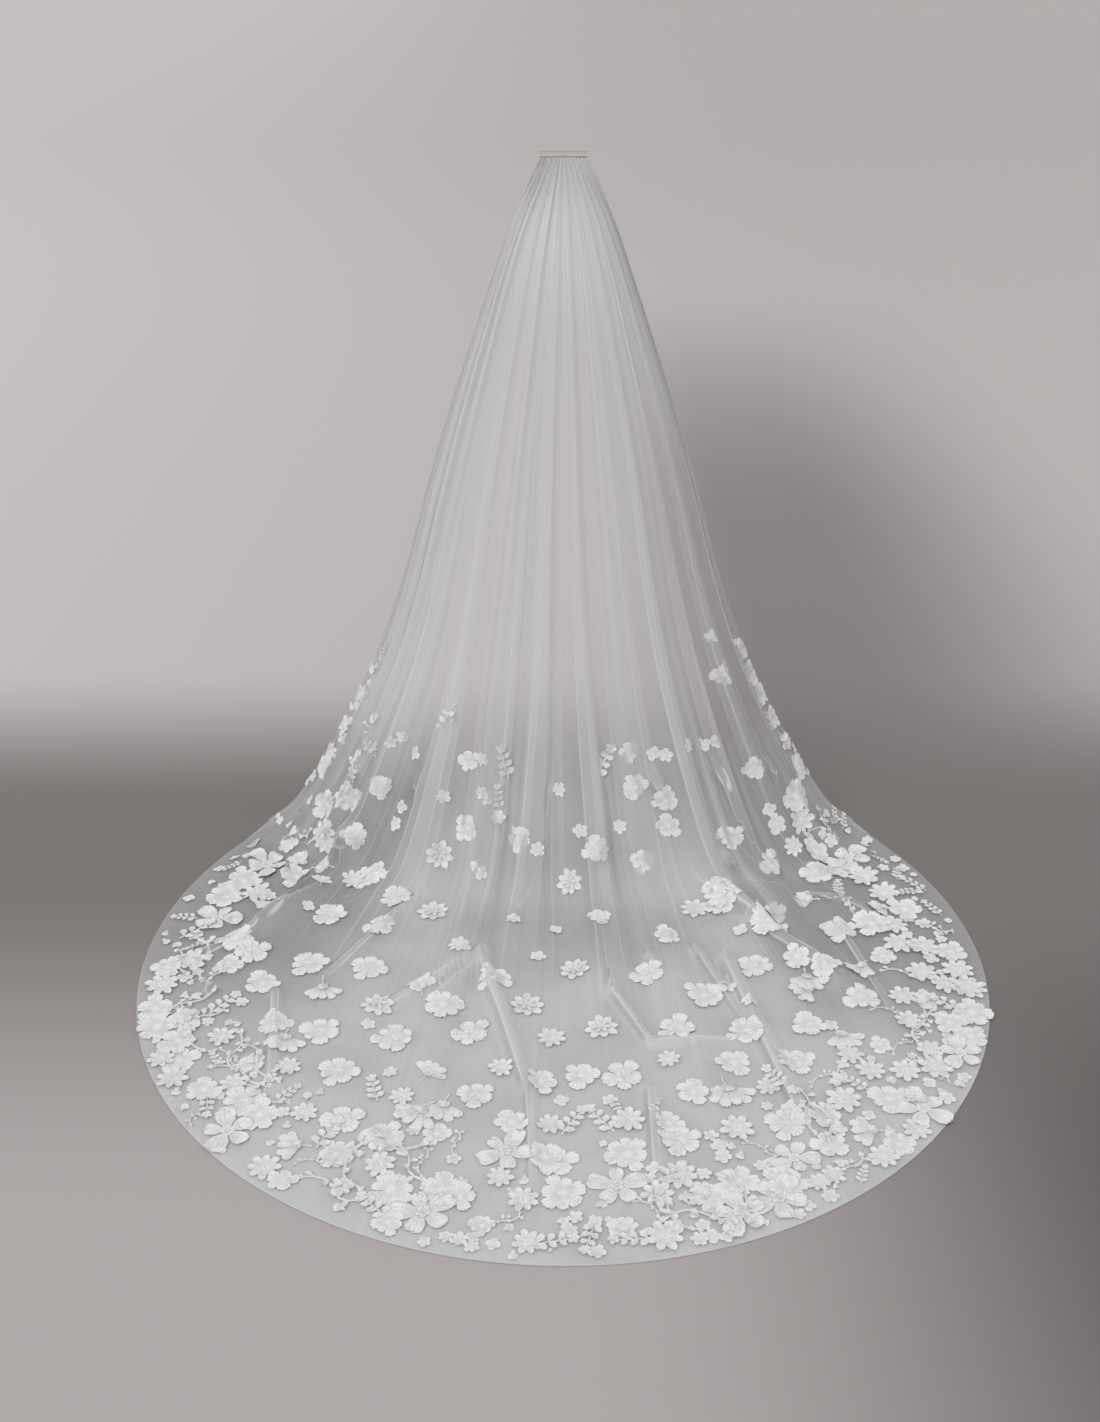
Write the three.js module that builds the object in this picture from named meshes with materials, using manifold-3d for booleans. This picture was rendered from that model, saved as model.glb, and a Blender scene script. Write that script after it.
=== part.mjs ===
// A long bridal veil of sheer tulle, gathered on a hidden hair comb, with sewn-on flowers.
// Millimetres, +Z up. The origin is the middle of the comb's bar, where the veil hangs. The wearer
// faces +Y, and the train runs towards -Y along the floor.

import * as THREE from "three";
import { mergeVertices } from "three/addons/utils/BufferGeometryUtils.js";
import Module from "manifold-3d";

const wasm = await Module();
wasm.setup();

const hangHeight = 1650;
const clothWall = 1.5;
const pieceGap = 0.3;
const headingWidth = 101;
const gatherDepth = 2.1;

const comb = { width: 94, barHeight: 6, thickness: 2, teeth: 19 };
const tooth = { length: 30, width: 2, tipInset: 0.6 };
const heading = { wall: 1.3, drop: 9, rise: 1.3, ease: 0.6, cornerSteps: 3 };

// The hem is an arc of an ellipse on the floor. It runs this far round from the front at each side edge.
const hem = { halfWidth: 940, halfLength: 905, centreBehind: 560, sweep: 128 };

const columns = 58;
const rows = 26;
const topRowShare = 0.005;
const rowCrowding = 0.35;

// The middle of the tulle layer hangs this far ahead of the comb's face.
const clothAhead = pieceGap + clothWall / 2 + gatherDepth;

// Level cuts through the hanging cloth: height above the floor, half width, depth in front of the side
// edges, distance ahead of the comb, and how far round each half turns from the front.
const sections = [
  { above: 1649, half: 49, depth: 0, ahead: clothAhead, turn: 20 },
  { above: 1638, half: 50, depth: 0, ahead: clothAhead, turn: 20 },
  { above: 1600, half: 69, depth: 12, ahead: clothAhead, turn: 60 },
  { above: 1520, half: 103, depth: 26, ahead: 1, turn: 88 },
  { above: 1400, half: 145, depth: 42, ahead: 0, turn: 97 },
  { above: 1250, half: 197, depth: 62, ahead: 0, turn: 97 },
  { above: 1100, half: 247, depth: 80, ahead: 0, turn: 97 },
  { above: 900, half: 307, depth: 105, ahead: 0, turn: 97 },
  { above: 700, half: 362, depth: 135, ahead: 0, turn: 97 },
  { above: 530, half: 420, depth: 165, ahead: 0, turn: 97 },
  { above: 380, half: 487, depth: 200, ahead: 0, turn: 97 },
  { above: 240, half: 560, depth: 240, ahead: 0, turn: 97 },
  { above: 120, half: 630, depth: 278, ahead: 0, turn: 97 },
  { above: 40, half: 690, depth: 320, ahead: 0, turn: 97 },
  { above: 0, half: 745, depth: 372, ahead: 0, turn: 97 },
];
const floorShares = [0.12, 0.25, 0.4, 0.55, 0.7, 0.85, 1];

// Crest of each fold across the cloth (-1 and 1 are the side edges), how far it has moved across where
// it reaches the floor, and its strength.
const folds = [
  { crest: -0.94, drift: 0, strength: 0.6 },
  { crest: -0.79, drift: 0.02, strength: 0.8 },
  { crest: -0.66, drift: 0.05, strength: 0.9 },
  { crest: -0.54, drift: 0.01, strength: 1.3 },
  { crest: -0.37, drift: 0.02, strength: 0.8 },
  { crest: -0.21, drift: 0.06, strength: 1.2 },
  { crest: -0.08, drift: -0.01, strength: 0.9 },
  { crest: 0.05, drift: 0.02, strength: 1.1 },
  { crest: 0.19, drift: -0.03, strength: 1 },
  { crest: 0.33, drift: 0.01, strength: 0.9 },
  { crest: 0.46, drift: -0.05, strength: 1.3 },
  { crest: 0.61, drift: -0.04, strength: 0.9 },
  { crest: 0.77, drift: -0.02, strength: 0.8 },
  { crest: 0.93, drift: 0, strength: 0.6 },
];

// How deep the folds are, each way, at a distance down the cloth.
const foldDepths = [
  { down: 0, depth: gatherDepth },
  { down: 60, depth: 3.5 },
  { down: 250, depth: 8 },
  { down: 600, depth: 13 },
  { down: 1100, depth: 18 },
  { down: 1450, depth: 17 },
  { down: 1750, depth: 12 },
  { down: 2050, depth: 6 },
  { down: 2450, depth: 2 },
  { down: 2850, depth: 0 },
];
const driftStart = 1000;
const driftEnd = 1900;
const hemCalmShare = 0.12;

// Soft ridges of cloth lying on the train: both ends (across, distance down), height and half breadth.
const ridges = [
  { across: -0.53, down: 1700, toAcross: -0.54, toDown: 2060, height: 46, breadth: 48 },
  { across: 0.24, down: 1460, toAcross: 0.32, toDown: 1760, height: 26, breadth: 36 },
  { across: 0.32, down: 1760, toAcross: 0.42, toDown: 2160, height: 30, breadth: 46 },
  { across: -0.13, down: 1780, toAcross: -0.13, toDown: 1950, height: 24, breadth: 44 },
  { across: -0.13, down: 1930, toAcross: -0.28, toDown: 2200, height: 18, breadth: 44 },
  { across: -0.13, down: 1930, toAcross: -0.04, toDown: 2360, height: 16, breadth: 40 },
  { across: 0.26, down: 1980, toAcross: 0.26, toDown: 2560, height: 18, breadth: 46 },
  { across: 0.07, down: 1700, toAcross: 0.07, toDown: 2060, height: 18, breadth: 38 },
  { across: 0.37, down: 1660, toAcross: 0.55, toDown: 1930, height: 22, breadth: 44 },
];

// The main sewn-on flowers: place on the cloth, breadth and turn in degrees.
const flowers = [
  { kind: "blossom", across: -0.26, down: 1380, size: 52, turn: 10 },
  { kind: "blossom", across: -0.32, down: 1770, size: 70, turn: 40 },
  { kind: "blossom", across: -0.43, down: 1900, size: 76, turn: 0 },
  { kind: "blossom", across: -0.32, down: 1900, size: 70, turn: 25 },
  { kind: "blossom", across: -0.3, down: 2040, size: 78, turn: 60 },
  { kind: "blossom", across: -0.4, down: 2080, size: 84, turn: 15 },
  { kind: "blossom", across: -0.51, down: 2120, size: 76, turn: 33 },
  { kind: "blossom", across: -0.22, down: 2240, size: 82, turn: 5 },
  { kind: "blossom", across: -0.32, down: 2270, size: 80, turn: 50 },
  { kind: "blossom", across: -0.12, down: 2190, size: 78, turn: 20 },
  { kind: "blossom", across: -0.27, down: 2370, size: 80, turn: 65 },
  { kind: "blossom", across: -0.1, down: 2380, size: 70, turn: 30 },
  { kind: "blossom", across: -0.24, down: 2500, size: 82, turn: 12 },
  { kind: "blossom", across: -0.36, down: 2520, size: 90, turn: 45 },
  { kind: "blossom", across: 0.41, down: 1610, size: 60, turn: 22 },
  { kind: "blossom", across: 0.47, down: 1720, size: 68, turn: 8 },
  { kind: "blossom", across: 0.3, down: 1750, size: 76, turn: 35 },
  { kind: "blossom", across: 0.38, down: 1870, size: 74, turn: 55 },
  { kind: "blossom", across: 0.13, down: 1990, size: 78, turn: 18 },
  { kind: "blossom", across: 0.3, down: 2030, size: 74, turn: 28 },
  { kind: "blossom", across: 0.49, down: 2010, size: 80, turn: 3 },
  { kind: "blossom", across: 0.15, down: 2190, size: 84, turn: 42 },
  { kind: "blossom", across: 0.24, down: 2230, size: 78, turn: 10 },
  { kind: "blossom", across: 0.43, down: 2230, size: 76, turn: 62 },
  { kind: "blossom", across: 0.07, down: 2320, size: 82, turn: 26 },
  { kind: "blossom", across: 0.24, down: 2510, size: 84, turn: 48 },
  { kind: "blossom", across: 0.12, down: 2510, size: 80, turn: 14 },
  { kind: "daisy", across: -0.28, down: 1620, size: 64, turn: 0 },
  { kind: "daisy", across: -0.24, down: 1780, size: 70, turn: 12 },
  { kind: "daisy", across: -0.26, down: 2150, size: 68, turn: 20 },
  { kind: "daisy", across: -0.05, down: 2090, size: 70, turn: 5 },
  { kind: "daisy", across: 0.02, down: 1650, size: 60, turn: 16 },
  { kind: "daisy", across: 0.02, down: 1960, size: 64, turn: 30 },
  { kind: "daisy", across: 0.05, down: 2170, size: 68, turn: 9 },
  { kind: "open_flower", across: -0.13, down: 2700, size: 104, turn: 18 },
  { kind: "open_flower", across: -0.06, down: 2530, size: 94, turn: 40 },
  { kind: "open_flower", across: 0.05, down: 2620, size: 94, turn: 0 },
  { kind: "open_flower", across: 0.2, down: 2690, size: 104, turn: 30 },
  { kind: "bell", across: -0.35, down: 2150, size: 62, turn: 200 },
  { kind: "bell", across: -0.16, down: 2450, size: 76, turn: 150 },
  { kind: "bell", across: 0.37, down: 2120, size: 66, turn: 170 },
  { kind: "bell", across: 0.19, down: 2400, size: 76, turn: 190 },
];
const flowerCrown = 6;
const flowerRim = 3.2;
const flowerRoot = 0.2;
const nudge = 0.01;

// Outlines as shares of the flower's half breadth, for each kind, worked out from its petals.
const outlines = {
  blossom: petalOutline({ petals: 5, steps: 3, notch: 0.2 }),
  daisy: petalOutline({ petals: 8, steps: 2, notch: 0.42 }),
  open_flower: petalOutline({ petals: 5, steps: 3, notch: 0.34 }),
  bell: bellOutline({ steps: 6, spread: 64, notch: 0.12, throat: 0.16, neck: 0.35, stem: 0.95, girth: 0.05 }),
};

const veil = new THREE.Group();
const tulleFinish = new THREE.MeshStandardMaterial({ color: 0xeeedea, roughness: 0.85, metalness: 0 });
const bindingFinish = new THREE.MeshStandardMaterial({ color: 0xe9e6da, roughness: 0.8, metalness: 0 });
const combFinish = new THREE.MeshStandardMaterial({ color: 0xe6e2d6, roughness: 0.35, metalness: 0 });
const laceFinish = new THREE.MeshStandardMaterial({ color: 0xf6f5f2, roughness: 0.7, metalness: 0 });

function radians(degrees) {
  return THREE.MathUtils.degToRad(degrees);
}

function addPiece(name, geometry, material) {
  const piece = new THREE.Mesh(geometry, material);
  piece.name = name;
  veil.add(piece);
}

// Value of one column of a table, between its rows, at a place along its first column.
function readTable(table, placeKey, valueKey, place) {
  const last = table.length - 1;
  if (place <= table[0][placeKey]) return table[0][valueKey];
  if (place >= table[last][placeKey]) return table[last][valueKey];
  const next = table.findIndex((row) => row[placeKey] > place);
  const before = table[next - 1];
  const after = table[next];
  const share = (place - before[placeKey]) / (after[placeKey] - before[placeKey]);
  return THREE.MathUtils.lerp(before[valueKey], after[valueKey], share);
}

// One line of the cloth from the comb to the hem: down through the sections, then along the floor.
function meridian(across) {
  const points = sections.map((section) => {
    const turn = radians(section.turn);
    const reach = Math.sin(Math.min(turn, Math.PI / 2));
    const x = section.half * Math.sin(across * turn) / reach;
    const y = -section.depth * Math.cos(across * turn) - section.ahead;
    return new THREE.Vector3(x, y, Math.max(section.above, clothWall / 2) - hangHeight);
  });
  const foot = points[points.length - 1];
  const hemTurn = radians(across * hem.sweep);
  const hemPoint = new THREE.Vector3(
    hem.halfWidth * Math.sin(hemTurn),
    -hem.centreBehind - hem.halfLength * Math.cos(hemTurn),
    foot.z,
  );
  const onFloor = floorShares.map((share) => foot.clone().lerp(hemPoint, share));
  const curve = new THREE.CatmullRomCurve3([...points, ...onFloor], false, "centripetal");
  curve.arcLengthDivisions = 400;
  return curve;
}

// Rows crowd towards the comb, and the first lies inside the heading.
function rowShare(row) {
  if (row === 0) return 0;
  const step = (row - 1) / (rows - 1);
  const eased = rowCrowding * step * step + (1 - rowCrowding) * step;
  return topRowShare + (1 - topRowShare) * eased;
}

function acrossOf(column) {
  return 2 * column / columns - 1;
}

// Unit vectors square to a grid of points: outwards where it hangs, upwards on the floor.
function gridNormals(grid) {
  return grid.map((line, i) => line.map((point, j) => {
    const right = grid[Math.min(i + 1, grid.length - 1)][j];
    const left = grid[Math.max(i - 1, 0)][j];
    const below = line[Math.min(j + 1, line.length - 1)];
    const above = line[Math.max(j - 1, 0)];
    const sideways = new THREE.Vector3().subVectors(right, left);
    const downwards = new THREE.Vector3().subVectors(below, above);
    return downwards.cross(sideways).normalize();
  }));
}

// Height of a fold's wave at a place: its crests are the rows of the folds table.
function foldWave(across, down) {
  const settle = THREE.MathUtils.smoothstep(down, driftStart, driftEnd);
  const drift = readTable(folds, "crest", "drift", across) * settle;
  const place = across - drift;
  const numbered = folds.map((fold, number) => ({ crest: fold.crest, number }));
  let turns = readTable(numbered, "crest", "number", place);
  const first = folds[0].crest;
  const last = folds[folds.length - 1].crest;
  if (place < first) turns = (place - first) / (folds[1].crest - first);
  if (place > last) turns = folds.length - 1 + (place - last) / (last - folds[folds.length - 2].crest);
  const strength = readTable(folds, "crest", "strength", place);
  return { height: Math.cos(2 * Math.PI * turns), strength };
}

const curves = [];
const lengths = [];
for (let column = 0; column <= columns; column += 1) {
  curves.push(meridian(acrossOf(column)));
  lengths.push(curves[column].getLength());
}

const baseGrid = curves.map((curve) => {
  const line = [];
  for (let row = 0; row <= rows; row += 1) line.push(curve.getPointAt(rowShare(row)));
  return line;
});

function basePoint(across, down) {
  const curve = meridian(across);
  return curve.getPointAt(Math.min(down / curve.getLength(), 1));
}

const ridgeLines = ridges.map((ridge) => ({
  line: new THREE.Line3(basePoint(ridge.across, ridge.down), basePoint(ridge.toAcross, ridge.toDown)),
  height: ridge.height,
  breadth: ridge.breadth,
}));

function ridgeLift(point) {
  const nearest = new THREE.Vector3();
  let lift = 0;
  for (const ridge of ridgeLines) {
    ridge.line.closestPointToPoint(point, true, nearest);
    const away = nearest.distanceTo(point) / ridge.breadth;
    lift = Math.max(lift, ridge.height * Math.exp(-away * away));
  }
  return lift;
}

// The folded cloth: each point of the base moves along its normal by the folds and the ridges. On the
// floor a fold only rises, so its wave is lifted by its own depth there.
function foldCloth() {
  const normals = gridNormals(baseGrid);
  return baseGrid.map((line, i) => line.map((point, j) => {
    const across = acrossOf(i);
    const down = rowShare(j) * lengths[i];
    const normal = normals[i][j];
    const flatness = Math.max(normal.z, 0) ** 2;
    const calm = 1 - THREE.MathUtils.smoothstep(rowShare(j), 1 - hemCalmShare, 1);
    const wave = foldWave(across, down);
    const strength = down < foldDepths[1].down ? 1 : wave.strength;
    const depth = readTable(foldDepths, "down", "depth", down) * strength * calm;
    const lift = depth * (wave.height + flatness) + ridgeLift(point) * calm;
    const moved = point.clone().addScaledVector(normal, lift);
    moved.z = Math.max(moved.z, clothWall / 2 - hangHeight);
    return moved;
  }));
}

const clothGrid = foldCloth();
const clothNormals = gridNormals(clothGrid);

// A closed sheet with a skin on each side of the cloth's middle, joined round the rim.
function sheetGeometry(reach) {
  const positions = [];
  for (const side of [1, -1]) {
    clothGrid.forEach((line, i) => line.forEach((point, j) => {
      const skin = point.clone().addScaledVector(clothNormals[i][j], side * reach);
      positions.push(skin.x, skin.y, Math.max(skin.z, -hangHeight));
    }));
  }
  const innerStart = (columns + 1) * (rows + 1);
  const at = (i, j, inner) => i * (rows + 1) + j + (inner ? innerStart : 0);
  const faces = [];
  for (let i = 0; i < columns; i += 1) {
    for (let j = 0; j < rows; j += 1) {
      faces.push(at(i, j), at(i, j + 1), at(i + 1, j));
      faces.push(at(i + 1, j), at(i, j + 1), at(i + 1, j + 1));
      faces.push(at(i, j, true), at(i + 1, j, true), at(i, j + 1, true));
      faces.push(at(i + 1, j, true), at(i + 1, j + 1, true), at(i, j + 1, true));
    }
  }
  const rim = [];
  for (let i = 0; i < columns; i += 1) rim.push([i, 0]);
  for (let j = 0; j < rows; j += 1) rim.push([columns, j]);
  for (let i = columns; i > 0; i -= 1) rim.push([i, rows]);
  for (let j = rows; j > 0; j -= 1) rim.push([0, j]);
  rim.forEach(([i, j], k) => {
    const [nextI, nextJ] = rim[(k + 1) % rim.length];
    faces.push(at(i, j), at(nextI, nextJ), at(i, j, true));
    faces.push(at(nextI, nextJ), at(nextI, nextJ, true), at(i, j, true));
  });
  const geometry = new THREE.BufferGeometry();
  geometry.setAttribute("position", new THREE.Float32BufferAttribute(positions, 3));
  geometry.setIndex(faces);
  return geometry;
}

// A point standing off the faceted cloth by a height, at a place given across and down the cloth.
function onCloth(across, down, height) {
  const column = THREE.MathUtils.clamp((across + 1) * columns / 2, 0, columns - 1e-6);
  const i = Math.floor(column);
  const u = column - i;
  const length = THREE.MathUtils.lerp(lengths[i], lengths[i + 1], u);
  const share = Math.min(down / length, 1 - 1e-6);
  let j = 0;
  while (rowShare(j + 1) < share) j += 1;
  const v = (share - rowShare(j)) / (rowShare(j + 1) - rowShare(j));
  const corners = u + v <= 1
    ? [[i, j, 1 - u - v], [i + 1, j, u], [i, j + 1, v]]
    : [[i + 1, j + 1, u + v - 1], [i + 1, j, 1 - v], [i, j + 1, 1 - u]];
  const point = new THREE.Vector3();
  for (const [a, b, weight] of corners) {
    point.addScaledVector(clothGrid[a][b], weight);
    point.addScaledVector(clothNormals[a][b], weight * height);
  }
  return point;
}

function petalOutline({ petals, steps, notch }) {
  const outline = [];
  for (let k = 0; k < petals * steps; k += 1) {
    const angle = 2 * Math.PI * k / (petals * steps);
    const lobe = Math.abs(Math.cos(petals * angle / 2));
    outline.push(new THREE.Vector2(Math.cos(angle), Math.sin(angle)).multiplyScalar(1 - notch * (1 - lobe)));
  }
  return outline;
}

// A half-open flower from the side: a fan with a toothed edge above a narrow throat and a short stem.
function bellOutline({ steps, spread, notch, throat, neck, stem, girth }) {
  const outline = [new THREE.Vector2(-girth, -stem), new THREE.Vector2(girth, -stem)];
  outline.push(new THREE.Vector2(throat, -neck));
  for (let k = 0; k <= steps; k += 1) {
    const angle = radians(90 - spread + 2 * spread * k / steps);
    const radius = 1 - (k % 2) * notch;
    outline.push(new THREE.Vector2(Math.cos(angle), Math.sin(angle)).multiplyScalar(radius));
  }
  outline.push(new THREE.Vector2(-throat, -neck));
  return outline;
}

function toSolid(geometry) {
  const bare = geometry.clone();
  bare.deleteAttribute("normal");
  bare.deleteAttribute("uv");
  const merged = mergeVertices(bare, 1e-4);
  return new wasm.Manifold(new wasm.Mesh({
    numProp: 3,
    vertProperties: new Float32Array(merged.attributes.position.array),
    triVerts: new Uint32Array(merged.index.array),
  }));
}

function toGeometry(solid) {
  const mesh = solid.getMesh();
  const geometry = new THREE.BufferGeometry();
  geometry.setAttribute("position", new THREE.BufferAttribute(mesh.vertProperties, 3));
  geometry.setIndex(new THREE.BufferAttribute(mesh.triVerts, 1));
  return geometry;
}

// A low domed plate in the flower's outline, which follows the cloth under it.
function flowerPlate(flower) {
  const left = basePoint(flower.across - nudge, flower.down);
  const right = basePoint(flower.across + nudge, flower.down);
  const acrossPerMm = 2 * nudge / left.distanceTo(right);
  const turn = radians(flower.turn);
  const centre = new THREE.Vector2();
  const outline = outlines[flower.kind];
  const place = (point, height) => {
    const step = point.clone().rotateAround(centre, turn).multiplyScalar(flower.size / 2);
    return onCloth(flower.across + step.x * acrossPerMm, flower.down - step.y, height);
  };
  const top = clothWall / 2 + pieceGap;
  const points = [place(centre, top + flowerCrown), place(centre, flowerRoot)];
  for (const point of outline) points.push(place(point, top + flowerRim), place(point, flowerRoot));
  const faces = [];
  outline.forEach((_, k) => {
    const here = 2 + 2 * k;
    const next = 2 + 2 * ((k + 1) % outline.length);
    faces.push(0, here, next, 1, next + 1, here + 1);
    faces.push(here, here + 1, next, next, here + 1, next + 1);
  });
  const geometry = new THREE.BufferGeometry().setFromPoints(points);
  geometry.setIndex(faces);
  return geometry;
}

// The hair comb: a bar with straight, tapered teeth, cut from one plate.
function combGeometry() {
  const half = comb.width / 2;
  const shape = new THREE.Shape();
  shape.moveTo(-half, comb.barHeight / 2);
  const pitch = (comb.width - tooth.width) / (comb.teeth - 1);
  const root = -comb.barHeight / 2;
  const tip = root - tooth.length;
  for (let k = 0; k < comb.teeth; k += 1) {
    const left = -half + k * pitch;
    shape.lineTo(left, root);
    shape.lineTo(left + tooth.tipInset, tip);
    shape.lineTo(left + tooth.width - tooth.tipInset, tip);
    shape.lineTo(left + tooth.width, root);
  }
  shape.lineTo(half, comb.barHeight / 2);
  const plate = new THREE.ExtrudeGeometry(shape, { depth: comb.thickness, bevelEnabled: false });
  return plate.rotateX(Math.PI / 2).translate(0, comb.thickness, 0);
}

// The binding over the comb's bar and the gathered edge: an upturned channel with rounded shoulders.
function headingGeometry() {
  const front = -clothAhead - gatherDepth - clothWall / 2 - heading.ease;
  const back = comb.thickness + pieceGap;
  const roof = comb.barHeight / 2 + pieceGap;
  const wall = heading.wall;
  const shape = new THREE.Shape();
  shape.moveTo(front - wall, -heading.drop);
  shape.lineTo(front - wall, roof);
  shape.quadraticCurveTo(front - wall, roof + heading.rise, front + wall, roof + heading.rise);
  shape.lineTo(back - wall, roof + heading.rise);
  shape.quadraticCurveTo(back + wall, roof + heading.rise, back + wall, roof);
  shape.lineTo(back + wall, -heading.drop);
  shape.lineTo(back, -heading.drop);
  shape.lineTo(back, roof);
  shape.lineTo(front, roof);
  shape.lineTo(front, -heading.drop);
  const options = { depth: headingWidth, bevelEnabled: false, curveSegments: heading.cornerSteps };
  const channel = new THREE.ExtrudeGeometry(shape, options);
  return channel.rotateX(Math.PI / 2).rotateZ(Math.PI / 2).translate(-headingWidth / 2, 0, 0);
}

addPiece("comb", combGeometry(), combFinish);
addPiece("gathered_heading", headingGeometry(), bindingFinish);
addPiece("tulle_veil", sheetGeometry(clothWall / 2), tulleFinish);

const clearance = toSolid(sheetGeometry(clothWall / 2 + pieceGap));
const counts = {};
for (const flower of flowers) {
  counts[flower.kind] = (counts[flower.kind] ?? 0) + 1;
  const name = `${flower.kind}_${String(counts[flower.kind]).padStart(2, "0")}`;
  const pieces = toSolid(flowerPlate(flower)).subtract(clearance).decompose();
  pieces.sort((one, other) => other.volume() - one.volume());
  addPiece(name, toGeometry(pieces[0]), laceFinish);
}

export default veil;
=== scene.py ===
import math
import bpy
import numpy as np
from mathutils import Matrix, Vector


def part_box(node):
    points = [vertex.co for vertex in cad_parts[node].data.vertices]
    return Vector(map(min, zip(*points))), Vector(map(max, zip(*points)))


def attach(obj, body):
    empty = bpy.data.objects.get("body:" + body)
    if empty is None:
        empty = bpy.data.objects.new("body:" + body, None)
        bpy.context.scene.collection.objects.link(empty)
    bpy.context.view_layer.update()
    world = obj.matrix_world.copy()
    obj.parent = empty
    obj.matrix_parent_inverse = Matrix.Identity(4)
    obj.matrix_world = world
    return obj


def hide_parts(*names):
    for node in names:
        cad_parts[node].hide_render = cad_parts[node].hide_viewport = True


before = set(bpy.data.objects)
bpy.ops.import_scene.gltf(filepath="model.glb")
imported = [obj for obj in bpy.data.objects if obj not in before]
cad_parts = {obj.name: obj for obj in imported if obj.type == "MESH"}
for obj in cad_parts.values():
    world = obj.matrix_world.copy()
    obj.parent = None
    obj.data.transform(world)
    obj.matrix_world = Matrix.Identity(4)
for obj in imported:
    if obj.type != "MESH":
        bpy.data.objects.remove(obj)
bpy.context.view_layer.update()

print("veil: frame loaded")

# metres; the comb's bar is the origin and the floor lies this far below it
hangHeight = 1.65

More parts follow.
